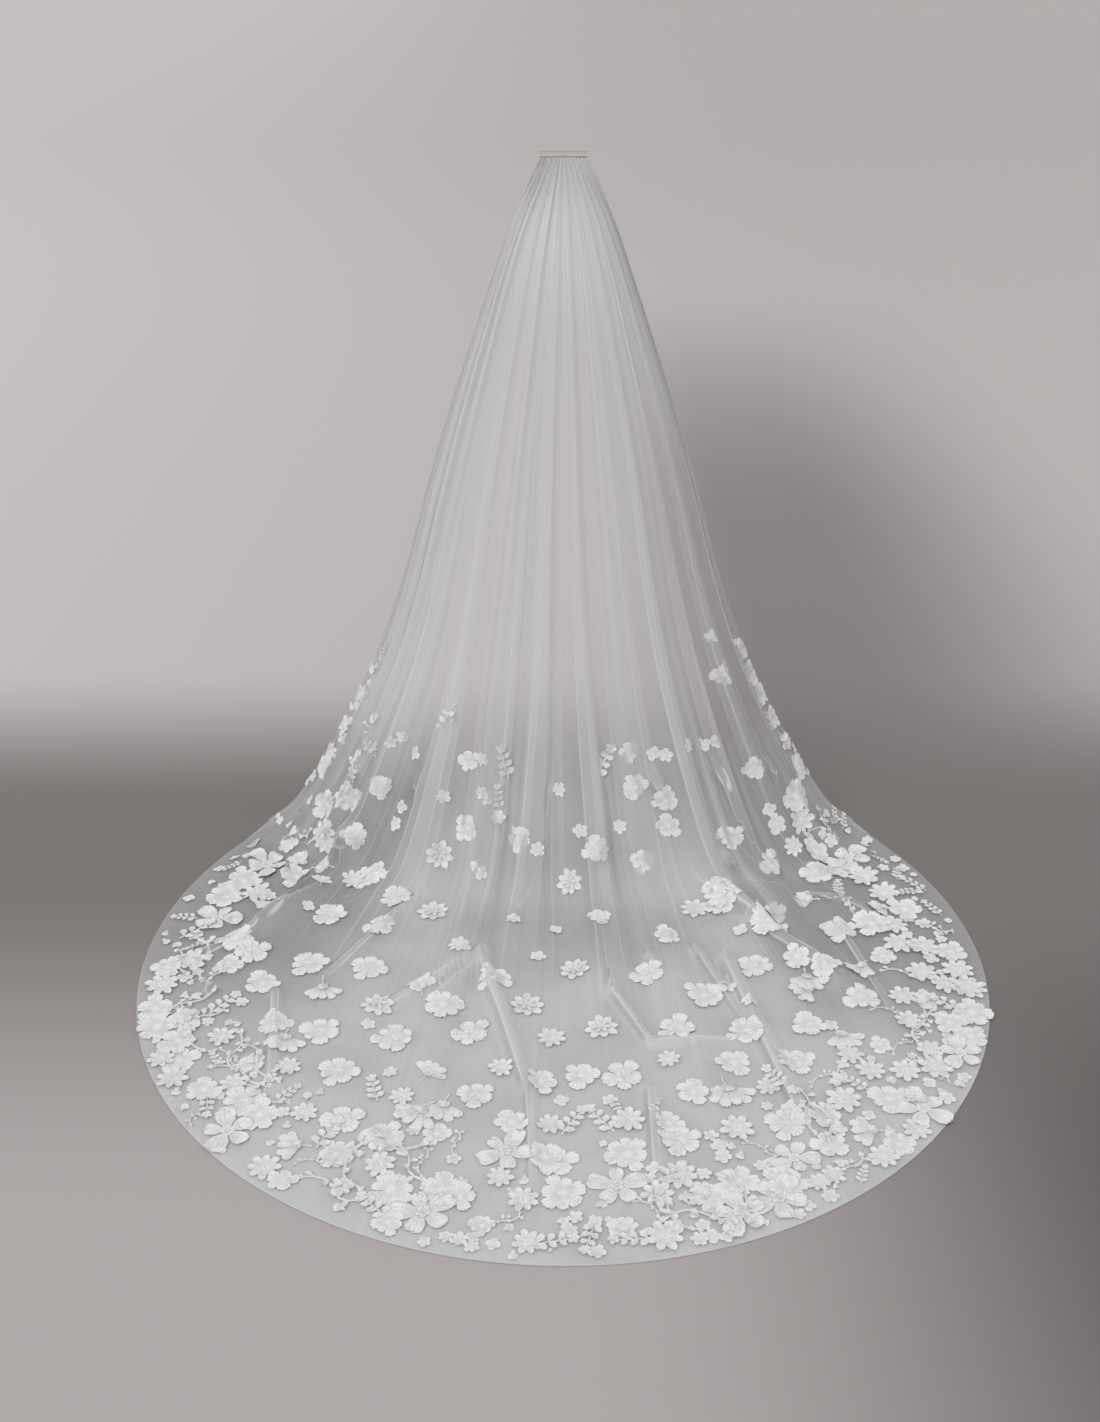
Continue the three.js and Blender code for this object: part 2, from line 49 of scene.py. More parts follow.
drape = {
    "columns": 334,
    "rows": 290,
    "topShares": (0.0, 0.0029, 0.0040),
    "crowding": 0.05,
    "lineSteps": 14,
    "clothLift": 0.0012,
    "driftStart": 1.0,
    "driftEnd": 1.9,
    "hemCalm": 0.1,
    "hemHalfWidth": 0.94,
    "hemHalfLength": 0.905,
    "hemCentre": -0.56,
    "hemSweep": 128,
    "floorShares": (0.12, 0.25, 0.4, 0.55, 0.7, 0.85, 1),
    # level cuts: height above the floor, half width, depth, distance ahead of the comb, turn of each half
    "sections": (
        (1.649, 0.049, 0.000, 0.00315, 20),
        (1.638, 0.050, 0.000, 0.00315, 20),
        (1.600, 0.069, 0.012, 0.00315, 60),
        (1.520, 0.103, 0.026, 0.001, 88),
        (1.400, 0.145, 0.042, 0, 97),
        (1.250, 0.197, 0.062, 0, 97),
        (1.100, 0.247, 0.080, 0, 97),
        (0.900, 0.307, 0.105, 0, 97),
        (0.700, 0.362, 0.135, 0, 97),
        (0.530, 0.420, 0.165, 0, 97),
        (0.380, 0.487, 0.200, 0, 97),
        (0.240, 0.560, 0.240, 0, 97),
        (0.120, 0.630, 0.278, 0, 97),
        (0.040, 0.690, 0.320, 0, 97),
        (0.000, 0.745, 0.372, 0, 97),
    ),
    # folds: crest across the cloth, drift by the floor, strength, how far the pleat laps, which way it leans
    "folds": (
        (-0.94, 0.00, 0.6, 0.6, 0.8),
        (-0.79, 0.02, 0.8, 0.9, 0.9),
        (-0.66, 0.05, 0.9, 0.7, -0.6),
        (-0.54, 0.01, 1.3, 1.4, 0.9),
        (-0.37, 0.02, 0.7, 0.4, -0.3),
        (-0.21, 0.06, 1.2, 1.2, -0.9),
        (-0.08, -0.01, 0.8, 0.7, 0.8),
        (0.05, 0.02, 1.1, 1.3, 0.9),
        (0.19, -0.03, 0.9, 0.7, -0.8),
        (0.33, 0.01, 0.8, 0.8, 0.7),
        (0.46, -0.05, 1.3, 1.5, -0.9),
        (0.61, -0.04, 0.8, 0.5, 0.5),
        (0.77, -0.02, 0.8, 0.9, -0.9),
        (0.93, 0.00, 0.6, 0.6, -0.8),
    ),
    # distance down the cloth, fold depth each way, share of the lap, depth of the fine gathers
    "depths": (
        (0.00, 0.0021, 0.1, 0.0008),
        (0.03, 0.0016, 0.1, 0.0020),
        (0.10, 0.0030, 0.0, 0.0014),
        (0.25, 0.0048, 0.0, 0.0012),
        (0.60, 0.0085, 0.1, 0.0009),
        (1.10, 0.0140, 0.3, 0.0006),
        (1.45, 0.0155, 0.4, 0.0004),
        (1.75, 0.0120, 0.3, 0.0002),
        (2.05, 0.0060, 0.1, 0.0),
        (2.45, 0.0020, 0.0, 0.0),
        (2.85, 0.0, 0.0, 0.0),
    ),
    # just under the heading the cloth springs out by this height, then comes back
    "spring": {"height": 0.0032, "from": 0.0084, "full": 0.0112, "until": 0.05, "gone": 0.14},
    "gathers": {"count": 46, "sway": 1.5, "swayDown": 2.3},
    "secondFolds": {"share": 0.3, "turns": 2.37, "bend": 1.6, "bendDown": 2.1, "bendAcross": 3, "lying": 0.4},
    # lying cloth laps less by this share; the lap dies away over this much of the cloth at the free edges
    "floorLap": 0.6,
    "lapEdge": 0.06,
    # ridges: distance that counts as none near, height of a full line, how near its ends a line fades
    "ridgeFar": 4.0,
    "ridgeFull": 0.016,
    "ridgeEnd": (0.5, 0.42),
    # ridges lying on the train: both ends (across, down), height at each end, half breadth
    "ridges": (
        (-0.53, 1.66, -0.54, 2.04, 0.046, 0.036, 0.032),
        (-0.54, 2.04, -0.62, 2.26, 0.026, 0.004, 0.022),
        (0.24, 1.42, 0.31, 1.74, 0.022, 0.034, 0.020),
        (0.31, 1.74, 0.42, 2.16, 0.040, 0.016, 0.024),
        (-0.145, 1.50, -0.13, 1.93, 0.012, 0.042, 0.018),
        (-0.27, 1.42, -0.13, 1.93, 0.010, 0.040, 0.016),
        (-0.13, 1.93, -0.28, 2.20, 0.036, 0.006, 0.016),
        (-0.13, 1.93, -0.04, 2.36, 0.034, 0.018, 0.015),
        (-0.13, 1.93, -0.19, 2.12, 0.028, 0.003, 0.011),
        (0.26, 1.98, 0.26, 2.56, 0.028, 0.014, 0.017),
        (0.07, 1.58, 0.07, 2.06, 0.018, 0.024, 0.015),
        (0.37, 1.66, 0.55, 1.93, 0.028, 0.012, 0.018),
        (0.07, 2.06, 0.11, 2.22, 0.026, 0.022, 0.012),
        (0.11, 2.22, 0.24, 2.25, 0.022, 0.006, 0.012),
        (0.16, 1.56, 0.22, 1.94, 0.012, 0.020, 0.014),
        (0.22, 1.94, 0.25, 2.23, 0.018, 0.004, 0.012),
        (-0.02, 1.40, -0.08, 1.72, 0.010, 0.016, 0.013),
        (0.12, 1.42, 0.14, 1.94, 0.012, 0.020, 0.012),
        (0.10, 2.36, 0.09, 2.62, 0.018, 0.010, 0.013),
        (-0.04, 2.36, -0.03, 2.62, 0.020, 0.008, 0.012),
        (0.33, 1.88, 0.43, 2.17, 0.018, 0.006, 0.012),
        (-0.28, 1.72, -0.36, 2.12, 0.016, 0.010, 0.014),
        (-0.42, 2.20, -0.34, 2.46, 0.020, 0.006, 0.014),
        (0.50, 1.98, 0.46, 2.30, 0.018, 0.006, 0.013),
        (-0.70, 1.60, -0.76, 1.92, 0.020, 0.006, 0.016),
        (0.66, 1.50, 0.72, 1.86, 0.020, 0.006, 0.016),
        (0.55, 1.93, 0.62, 2.12, 0.014, 0.004, 0.014),
        (-0.20, 2.52, -0.14, 2.72, 0.014, 0.004, 0.013),
        (-0.38, 1.46, -0.42, 1.86, 0.012, 0.014, 0.015),
        (0.44, 1.42, 0.47, 1.74, 0.014, 0.016, 0.014),
    ),
}

# the camera stands where the photograph's stood; its frame is 1100 by 1422 and the focal length in pixels;
# a look may miss a point of the cloth by a few pixels, and pays for more in metres for each pixel squared
photo = {
    "wide": 1100,
    "high": 1422,
    "focal": 1604,
    "pitch": 28,
    "place": (-0.028, -3.5, 0.54),
    "sensor": 36,
    "clipEnd": 200,
    "missFree": 2,
    "missCost": 0.05,
}


def smooth(x, low, high):
    # cubic step from 0 at low to 1 at high, which may also lie below low
    t = np.clip((x - low) / (high - low), 0, 1)
    return t * t * (3 - 2 * t)


def unit(v):
    return v / np.maximum(np.linalg.norm(v, axis=-1, keepdims=True), 1e-9)


def gridNormals(grid):
    # cross product of the way down and the way across, by differences on the grid
    return unit(np.cross(np.gradient(grid, axis=1), np.gradient(grid, axis=0)))


def rowShares(rows):
    # rows crowd towards the comb; the first ones lie inside the heading and just under its edge
    step = np.linspace(0, 1, rows)[1:]
    eased = drape["crowding"] * step ** 2 + (1 - drape["crowding"]) * step
    last = drape["topShares"][-1]
    return np.concatenate([drape["topShares"], last + (1 - last) * eased])


def meridianKnots(across):
    # sections carried round by their turn, then straight along the floor to the hem's ellipse
    above, half, depth, ahead, turn = np.array(drape["sections"]).T
    turn = np.radians(turn)
    angle = across[:, None] * turn
    x = half * np.sin(angle) / np.sin(np.minimum(turn, np.pi / 2))
    y = -depth * np.cos(angle) - ahead
    z = np.broadcast_to(np.maximum(above, drape["clothLift"]) - hangHeight, x.shape)
    hanging = np.stack([x, y, z], -1)
    foot = hanging[:, -1]
    sweep = np.radians(drape["hemSweep"]) * across
    hemX = drape["hemHalfWidth"] * np.sin(sweep)
    hemY = drape["hemCentre"] - drape["hemHalfLength"] * np.cos(sweep)
    hem = np.stack([hemX, hemY, foot[:, 2]], -1)
    shares = np.array(drape["floorShares"])[None, :, None]
    return np.concatenate([hanging, foot[:, None] + (hem - foot)[:, None] * shares], 1)


def smoothLines(knots):
    # centripetal Catmull-Rom curve through each line of knots, as a dense line
    first = 2 * knots[:, :1] - knots[:, 1:2]
    last = 2 * knots[:, -1:] - knots[:, -2:-1]
    full = np.concatenate([first, knots, last], 1)
    gap = np.sqrt(np.linalg.norm(np.diff(full, axis=1), axis=-1, keepdims=True))
    before, here, after = gap[:, :-2], gap[:, 1:-1], gap[:, 2:]
    p0, p1, p2, p3 = full[:, :-3], full[:, 1:-2], full[:, 2:-1], full[:, 3:]
    out = here * ((p1 - p0) / before - (p2 - p0) / (before + here) + (p2 - p1) / here)
    into = here * ((p2 - p1) / here - (p3 - p1) / (here + after) + (p3 - p2) / after)
    t = (np.arange(drape["lineSteps"]) / drape["lineSteps"])[None, None, :, None]
    p1, p2, out, into = (v[:, :, None] for v in (p1, p2, out, into))
    dense = (2 * t ** 3 - 3 * t ** 2 + 1) * p1 + (t ** 3 - 2 * t ** 2 + t) * out
    dense = dense + (3 * t ** 2 - 2 * t ** 3) * p2 + (t ** 3 - t ** 2) * into
    return np.concatenate([dense.reshape(len(knots), -1, 3), knots[:, -1:]], 1)


def layLines(lines, shares):
    # each line is read at equal shares of its own length
    step = np.linalg.norm(np.diff(lines, axis=1), axis=-1)
    run = np.concatenate([np.zeros((len(lines), 1)), np.cumsum(step, 1)], 1)
    grid = [[np.interp(shares * s[-1], s, line[:, k]) for k in range(3)] for line, s in zip(lines, run)]
    return np.swapaxes(np.array(grid), 1, 2), run[:, -1]


class Cloth:
    # the folded tulle as a grid of points, which the flowers are then laid on

    def __init__(self, columns, rows):
        self.across = np.linspace(-1, 1, columns)
        self.shares = rowShares(rows)
        self.base, self.lengths = layLines(smoothLines(meridianKnots(self.across)), self.shares)
        self.down = self.shares[None] * self.lengths[:, None]
        self.fold()
        self.normals = gridNormals(self.points)

    def read(self, grid, across, down):
        # bilinear reading of a grid at places given across and down the cloth
        i = np.clip((across + 1) / 2 * (len(self.across) - 1), 0, len(self.across) - 1.001)
        i0 = i.astype(int)
        u = (i - i0)[..., None]
        length = np.interp(across, self.across, self.lengths)
        j = np.interp(np.clip(down / length, 0, 0.9999), self.shares, np.arange(len(self.shares)))
        j0 = np.minimum(j.astype(int), len(self.shares) - 2)
        v = (j - j0)[..., None]
        near = grid[i0, j0] * (1 - v) + grid[i0, j0 + 1] * v
        far = grid[i0 + 1, j0] * (1 - v) + grid[i0 + 1, j0 + 1] * v
        return near * (1 - u) + far * u

    def ridgeLift(self):
        # each ridge is a rounded bump along a straight line between two places on the cloth; how far each
        # point lies from the nearest ridge, in its half breadths and less than 0 on its left, is kept for
        # the lines and the shade along its sides
        lift = np.zeros(self.down.shape)
        self.foldAway = np.full(self.down.shape, drape["ridgeFar"])
        self.foldHigh = np.zeros(self.down.shape)
        for a, d, toA, toD, height, toHeight, breadth in drape["ridges"]:
            ends = self.read(self.base, np.array([a, toA]), np.array([d, toD]))
            line = ends[1] - ends[0]
            t = np.clip(((self.base - ends[0]) @ line) / (line @ line), 0, 1)
            away = np.linalg.norm(self.base - ends[0] - t[..., None] * line, axis=-1) / breadth
            high = height + (toHeight - height) * t
            lift = np.maximum(lift, high * np.exp(-away ** 2))
            strong = smooth(high, 0.0, drape["ridgeFull"]) * smooth(np.abs(t - 0.5), *drape["ridgeEnd"])
            arm = self.base - ends[0]
            side = np.sign(arm[..., 0] * line[1] - arm[..., 1] * line[0]) * -np.sign(line[1])
            nearer = away < np.abs(self.foldAway)
            self.foldHigh = np.where(nearer, strong, self.foldHigh)
            self.foldAway = np.where(nearer, away * side, self.foldAway)
        return lift

    def fold(self):
        # pleats: the height is a cosine wave, and a sideways wave of the same length makes it lap
        crest, drift, strength, lap, lean = np.array(drape["folds"]).T
        down, depth, lapShare, gather = np.array(drape["depths"]).T
        across = np.broadcast_to(self.across[:, None], self.down.shape)
        settle = smooth(self.down, drape["driftStart"], drape["driftEnd"])
        place = across - np.interp(across, crest, drift) * settle
        number = np.arange(len(crest))
        turns = np.interp(place, crest, number)
        turns = np.where(place < crest[0], (place - crest[0]) / (crest[1] - crest[0]), turns)
        past = number[-1] + (place - crest[-1]) / (crest[-1] - crest[-2])
        turns = np.where(place > crest[-1], past, turns)
        strong = np.where(self.down < down[1], 1, np.interp(place, crest, strength))
        calm = 1 - smooth(self.shares, 1 - drape["hemCalm"], 1)[None]
        deep = np.interp(self.down, down, depth) * strong * calm
        normal = gridNormals(self.base)
        flat = np.maximum(normal[..., 2], 0) ** 2
        second = drape["secondFolds"]
        bend = second["bend"] * np.sin(second["bendDown"] * self.down + second["bendAcross"] * across)
        ripple = np.cos(2 * np.pi * second["turns"] * turns + bend)
        wave = np.cos(2 * np.pi * turns) + second["share"] * (ripple + second["lying"] * flat)
        fine = drape["gathers"]
        sway = fine["sway"] * np.sin(fine["swayDown"] * self.down)
        gathers = np.interp(self.down, down, gather) * calm
        gathers = gathers * np.cos(2 * np.pi * fine["count"] * across + sway)
        spring = drape["spring"]
        out = smooth(self.down, spring["from"], spring["full"])
        out = out * smooth(self.down, spring["gone"], spring["until"])
        lift = deep * (wave + flat) + gathers + self.ridgeLift() * calm + spring["height"] * out
        step = np.gradient(self.base, axis=0)
        self.spacing = np.linalg.norm(step, axis=-1) / np.gradient(self.across)[:, None]
        foldLength = self.spacing * np.interp(place, crest[1:] / 2 + crest[:-1] / 2, np.diff(crest))
        lapNow = np.interp(place, crest, lap) * np.interp(self.down, down, lapShare)
        lapNow = lapNow * calm * (1 - drape["floorLap"] * flat)
        leanNow = np.interp(place, crest, lean) * np.pi / 2
        shift = foldLength * lapNow / (2 * np.pi) * np.sin(2 * np.pi * turns + leanNow)
        sideways = unit(step)
        edge = smooth(1 - np.abs(across), 0, drape["lapEdge"])
        self.points = self.base + normal * lift[..., None] + sideways * (shift * edge)[..., None]
        self.points[..., 2] = np.maximum(self.points[..., 2], drape["clothLift"] - hangHeight)
        self.facing = np.abs((gridNormals(self.points) * normal).sum(-1))
        self.baseNormals = normal
        self.pleat = turns

    def frameAt(self, across, down):
        # unit vectors across and down the cloth with the skew between them, to turn metres into places
        step = 0.004
        here = self.read(self.base, across, down)
        ahead = self.read(self.base, across + step, down) - here
        below = unit(self.read(self.base, across, down + step) - self.read(self.base, across, down - step))
        skew = (ahead * below).sum(-1)
        stretch = np.linalg.norm(ahead - below * skew[..., None], axis=-1)
        return stretch / step, skew / step


cloth = Cloth(drape["columns"], drape["rows"])
print("veil: cloth folded,", cloth.points.shape[0] * cloth.points.shape[1], "points")


def meshObject(name, points, faces, material, layerName=None, uv=None):
    mesh = bpy.data.meshes.new(name)
    mesh.from_pydata(points.reshape(-1, 3).tolist(), [], faces.tolist())
    if uv is not None:
        layer = mesh.uv_layers.new(name=layerName)
        layer.data.foreach_set("uv", uv.reshape(-1, 2)[faces.reshape(-1)].astype(np.float32).ravel())
    mesh.materials.append(material)
    mesh.polygons.foreach_set("use_smooth", np.ones(len(mesh.polygons), bool))
    mesh.update()
    made = bpy.data.objects.new(name, mesh)
    bpy.context.collection.objects.link(made)
    return made


def gridFaces(columns, rows):
    # quads of a grid whose points run row by row inside each column
    i, j = np.meshgrid(np.arange(columns - 1), np.arange(rows - 1), indexing="ij")
    a = (i * rows + j).ravel()
    return np.stack([a, a + 1, a + rows + 1, a + rows], -1)


def setInputs(tree, node, values):
    for key, value in values.items():
        if isinstance(value, Field):
            tree.links.new(value.socket, node.inputs[key])
        else:
            node.inputs[key].default_value = value


class Field:
    # one output socket of a material's nodes; the operators add the Math nodes

    def __init__(self, tree, socket):
        self.tree = tree
        self.socket = socket

    def node(self, kind, settings=None, values=None, output=0):
        made = self.tree.nodes.new(kind)
        for key, value in (settings or {}).items():
            setattr(made, key, value)
        setInputs(self.tree, made, values or {})
        return Field(self.tree, made.outputs[output])

    def math(self, operation, *others):
        return self.node("ShaderNodeMath", {"operation": operation}, dict(enumerate((self,) + others)))

    def __add__(self, other): return self.math("ADD", other)
    def __radd__(self, other): return self.math("ADD", other)
    def __sub__(self, other): return self.math("SUBTRACT", other)
    def __rsub__(self, other): return (self * -1) + other
    def __mul__(self, other): return self.math("MULTIPLY", other)
    def __rmul__(self, other): return self.math("MULTIPLY", other)
    def __truediv__(self, other): return self.math("DIVIDE", other)

    def between(self, low, high):
        # 0 below low, 1 above high, smooth between
        settings = {"interpolation_type": "SMOOTHSTEP"}
        return self.node("ShaderNodeMapRange", settings, {"Value": self, "From Min": low, "From Max": high})

    def within(self, low, full, fading, gone):
        # 1 from full to fading, 0 below low and above gone
        return self.between(low, full) * (1 - self.between(fading, gone))

    def near(self, place, clear, gone):
        # 1 where this field is less than clear away from the place, 0 where it is more than gone away
        return 1 - (self - place).math("ABSOLUTE").between(clear, gone)

    def mixed(self, one, other):
        # colour one where this field is 0, colour other where it is 1; sockets 6 and 7 are the Mix colours
        settings = {"data_type": "RGBA"}
        return self.node("ShaderNodeMix", settings, {"Factor": self, 6: one, 7: other}, 2)

    def part(self, axis):
        return self.node("ShaderNodeSeparateXYZ", None, {0: self}, axis)

    def noise(self, scale, detail=2.0, settings=None):
        return self.node("ShaderNodeTexNoise", settings, {"Vector": self, "Scale": scale, "Detail": detail})

    def longNoise(self, wide, long, detail):
        # noise over a layout's plane, with a scale of its own each way
        place = self.node("ShaderNodeCombineXYZ", None, {0: self.part(0) * wide, 1: self.part(1) * long})
        return place.noise(1.0, detail, {"noise_dimensions": "2D"})

    def bump(self, strength, distance):
        return self.node("ShaderNodeBump", None, {"Strength": strength, "Distance": distance, "Height": self})

    def attribute(self, name):
        return self.node("ShaderNodeAttribute", {"attribute_name": name}, None, 2)

    def layout(self, name):
        return self.node("ShaderNodeUVMap", {"uv_map": name})

    def objectPlace(self):
        return self.node("ShaderNodeTexCoord", None, None, 3)


def newMaterial(name):
    # the field that comes with the material is where chains of nodes start
    material = bpy.data.materials.new(name)
    material.use_nodes = True
    tree = material.node_tree
    return material, Field(tree, tree.nodes["Principled BSDF"].outputs[0])


def finished(material, values):
    tree = material.node_tree
    setInputs(tree, tree.nodes["Principled BSDF"], values)
    return material


def addAttribute(mesh, name, values):
    layer = mesh.attributes.new(name, "FLOAT", "POINT")
    layer.data.foreach_set("value", values.astype(np.float32).ravel())


tulle = {
    # the cloth near the heading is lighter, partly for its denser gathers and partly as painted light on the
    # upright cloth there
    "litGatheredThread": (0.85, 0.85, 0.84, 1),
    "coolThread": (0.705, 0.71, 0.712, 1),
    "creamThread": (0.715, 0.711, 0.70, 1),
    "shadedThread": (0.40, 0.40, 0.395, 1),
    "coolUntil": (0.35, 0.65),
    "litGatheredUntil": (0.03, 0.16),
    "roughness": 0.85,
    "gloss": 0.25,
    "sheen": 0.25,
    "sheenRoughness": 0.5,
    # share of a look that one layer, the train and the hem stop, and the most that any thread stops
    "layerCover": 0.16,
    "trainCover": 0.72,
    "trainFrom": (1.1, 1.8),
    "hemCover": 0.78,
    "hemFrom": 0.8,
    "mostCover": 0.95,
    "mostLayers": 12,
    "leastFacing": 0.3,
    # sheerer zones: share of the cover taken away, then the smooth steps that bound the zone
    "sheerZones": (
        {"share": 0.7, "steps": (("across", 0.3, 0.5), ("down", 0.35, 0.75), ("down", 1.5, 1.3))},
        {"share": 0.28, "steps": (("aside", 0.3, 0.1), ("down", 1.45, 1.6), ("down", 2.05, 1.85))},
        {"share": 0.52, "steps": (("aside", 0.25, 0.45), ("down", 1.25, 1.5), ("forward", -1.05, -0.5))},
    ),
    "thinPatches": {"scale": 6.0, "detail": 1.0, "edge": (0.42, 0.66), "from": (0.5, 0.65), "share": 0.12},
    # share of the folds' own shading in the fall and on the train
    "foldShading": 0.1,
    "trainShading": 0.62,
    "shadingFrom": (1.3, 1.8),
    # flat bands of doubled cloth along the pleats: turns to a pleat, phase, where in the wave a band begins
    # and is full, how much it adds, then where its edge line lies and between what distances that fades
    "bands": (
        {"turns": 1.0, "phase": -0.6, "edge": (0.26, 0.32), "adds": 0.26, "line": (0.32, 0.0, 0.12)},
        {"turns": 1.63, "phase": 2.0, "edge": (0.5, 0.58), "adds": 0.2, "line": (0.6, 0.0, 0.14)},
    ),
    "bandFades": ((0.35, 0.65), (0.35, 0.6)),
    "bandsAlong": (0.05, 0.2, 0.5, 0.72),
    "bandLines": 0.36,
    "bandLinesAlong": (0.05, 0.2, 0.66, 0.84),
    # a ridge's two lines, the fill between them and the shade on its right, in its half breadths
    "foldLines": 0.7,
    "foldLineAt": (0.5, 0.02, 0.16),
    "foldInside": 0.16,
    "foldInsideTo": (0.4, 0.7),
    "foldShade": 0.5,
    "foldShadeAt": (0.55, 0.8, 0.9, 1.7),
    "edgeLine": 0.16,
    "edgeLineTo": (0.002, 0.006),
    "meshSize": 0.0024,
    "meshSlant": 0.577,
    "meshRows": 1.155,
    "meshShare": 0.35,
    "streaks": 0.14,
    "streakNoise": (260, 2.2, 3.0),
    "driftNoise": (14, 1.5, 2.0),
    "cutWidth": 2.25,
    "cutLength": 2.9,
    "cutArea": 4.5,
}


def tulleMaterial():
    # the cover attribute says how much thread a look meets; the net and the streaks vary it
    material, start = newMaterial("softTulle")
    layout = start.layout("cut")
    right, down = layout.part(0), layout.part(1)
    cover = start.attribute("cover")
    flatX, flatY = right * tulle["cutWidth"], down * tulle["cutLength"]
    cells = 2 * math.pi / tulle["meshSize"]
    slant = ((flatX + flatY * tulle["meshSlant"]) * cells).math("COSINE")
    counter = ((flatX - flatY * tulle["meshSlant"]) * cells).math("COSINE")
    level = (flatY * (tulle["meshRows"] * cells)).math("COSINE")
    net = (slant + counter + level) / 3
    streak = layout.longNoise(*tulle["streakNoise"])
    drift = layout.longNoise(*tulle["driftNoise"])
    vary = (1 - tulle["meshShare"] * net) * (1 + tulle["streaks"] * (streak - 0.5))
    pleat = start.attribute("pleat") * (2 * math.pi)
    bands, bandLines = 0, 0
    coming, going = tulle["bandFades"]
    for band, fade in zip(tulle["bands"], (drift.between(*coming), 1 - drift.between(*going))):
        wave = (pleat * band["turns"] + band["phase"]).math("COSINE")
        bands = wave.between(*band["edge"]) * band["adds"] + bands
        bandLines = wave.near(*band["line"]) * fade + bandLines
    aside, high = start.attribute("foldAway"), start.attribute("foldHigh")
    away = aside.math("ABSOLUTE")
    ridgeLines = tulle["foldLines"] * away.near(*tulle["foldLineAt"])
    ridgeLines = ridgeLines + tulle["foldInside"] * (1 - away.between(*tulle["foldInsideTo"]))
    foldShade = aside.within(*tulle["foldShadeAt"]) * high
    patches = tulle["thinPatches"]
    thin = start.objectPlace().noise(patches["scale"], patches["detail"]).between(*patches["edge"])
    thin = thin * down.between(*patches["from"]) * patches["share"]
    fromSide = 1 - (right * 2 - 1).math("ABSOLUTE")
    fromEdge = (fromSide * (tulle["cutWidth"] / 2)).math("MINIMUM", (1 - down) * tulle["cutLength"])
    lines = bands * down.within(*tulle["bandsAlong"])
    lines = lines + tulle["bandLines"] * bandLines * down.within(*tulle["bandLinesAlong"])
    lines = lines + ridgeLines * high
    lines = lines + tulle["edgeLine"] * (1 - fromEdge.between(*tulle["edgeLineTo"]))
    thread = drift.between(*tulle["coolUntil"]).mixed(tulle["coolThread"], tulle["creamThread"])
    # painted light: lighter thread near the heading, partly for the denser gathers
    thread = down.between(*tulle["litGatheredUntil"]).mixed(tulle["litGatheredThread"], thread)
    alpha = cover * vary * (1 - thin) + lines * (1 - cover)
    return finished(material, {
        "Base Color": (foldShade * tulle["foldShade"]).mixed(thread, tulle["shadedThread"]),
        "Roughness": tulle["roughness"],
        "Specular IOR Level": tulle["gloss"],
        "Sheen Weight": tulle["sheen"],
        "Sheen Roughness": tulle["sheenRoughness"],
        "Alpha": alpha.math("MINIMUM", tulle["mostCover"]),
    })


def tulleCover():
    # thread met grows as the cloth turns away: cover = 1 - (1 - flat cover) ^ (1 / facing)
    width = (cloth.spacing * np.gradient(cloth.across)[:, None]).sum(0)
    layers = np.clip(tulle["cutWidth"] / width, 1, tulle["mostLayers"])[None]
    hanging = 1 - (1 - tulle["layerCover"]) ** layers
    toHem = smooth(cloth.shares, tulle["hemFrom"], 1)[None]
    train = tulle["trainCover"] + (tulle["hemCover"] - tulle["trainCover"]) * toHem
    flat = hanging + (train - hanging) * smooth(cloth.down, *tulle["trainFrom"])
    across = cloth.across[:, None]
    ways = {"across": across, "aside": np.abs(across), "down": cloth.down, "forward": cloth.base[..., 1]}
    for zone in tulle["sheerZones"]:
        inside = 1
        for way, start, end in zone["steps"]:
            inside = inside * smooth(ways[way], start, end)
        flat = flat * (1 - zone["share"] * inside)
    return 1 - (1 - flat) ** (1 / np.maximum(cloth.facing, tulle["leastFacing"]))


def makeTulle():
    # threads scatter light all round, so the folds shade less than a solid wall would
    columns, rows = cloth.down.shape
    uv = np.stack(np.broadcast_arrays((cloth.across[:, None] + 1) / 2, cloth.shares[None]), -1)
    veil = meshObject("softTulleVeil", cloth.points, gridFaces(columns, rows), tulleMaterial(), "cut", uv)
    addAttribute(veil.data, "cover", tulleCover())
    addAttribute(veil.data, "pleat", cloth.pleat)
    addAttribute(veil.data, "foldAway", cloth.foldAway)
    addAttribute(veil.data, "foldHigh", cloth.foldHigh)
    more = (tulle["trainShading"] - tulle["foldShading"]) * smooth(cloth.down, *tulle["shadingFrom"])
    share = (tulle["foldShading"] + more)[..., None]
    normals = unit(cloth.baseNormals * (1 - share) + cloth.normals * share)
    veil.data.normals_split_custom_set_from_vertices(normals.reshape(-1, 3).tolist())
    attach(veil, "root")
    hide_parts("tulle_veil")
    return veil


tulleVeil = makeTulle()
print("veil: tulle laid")

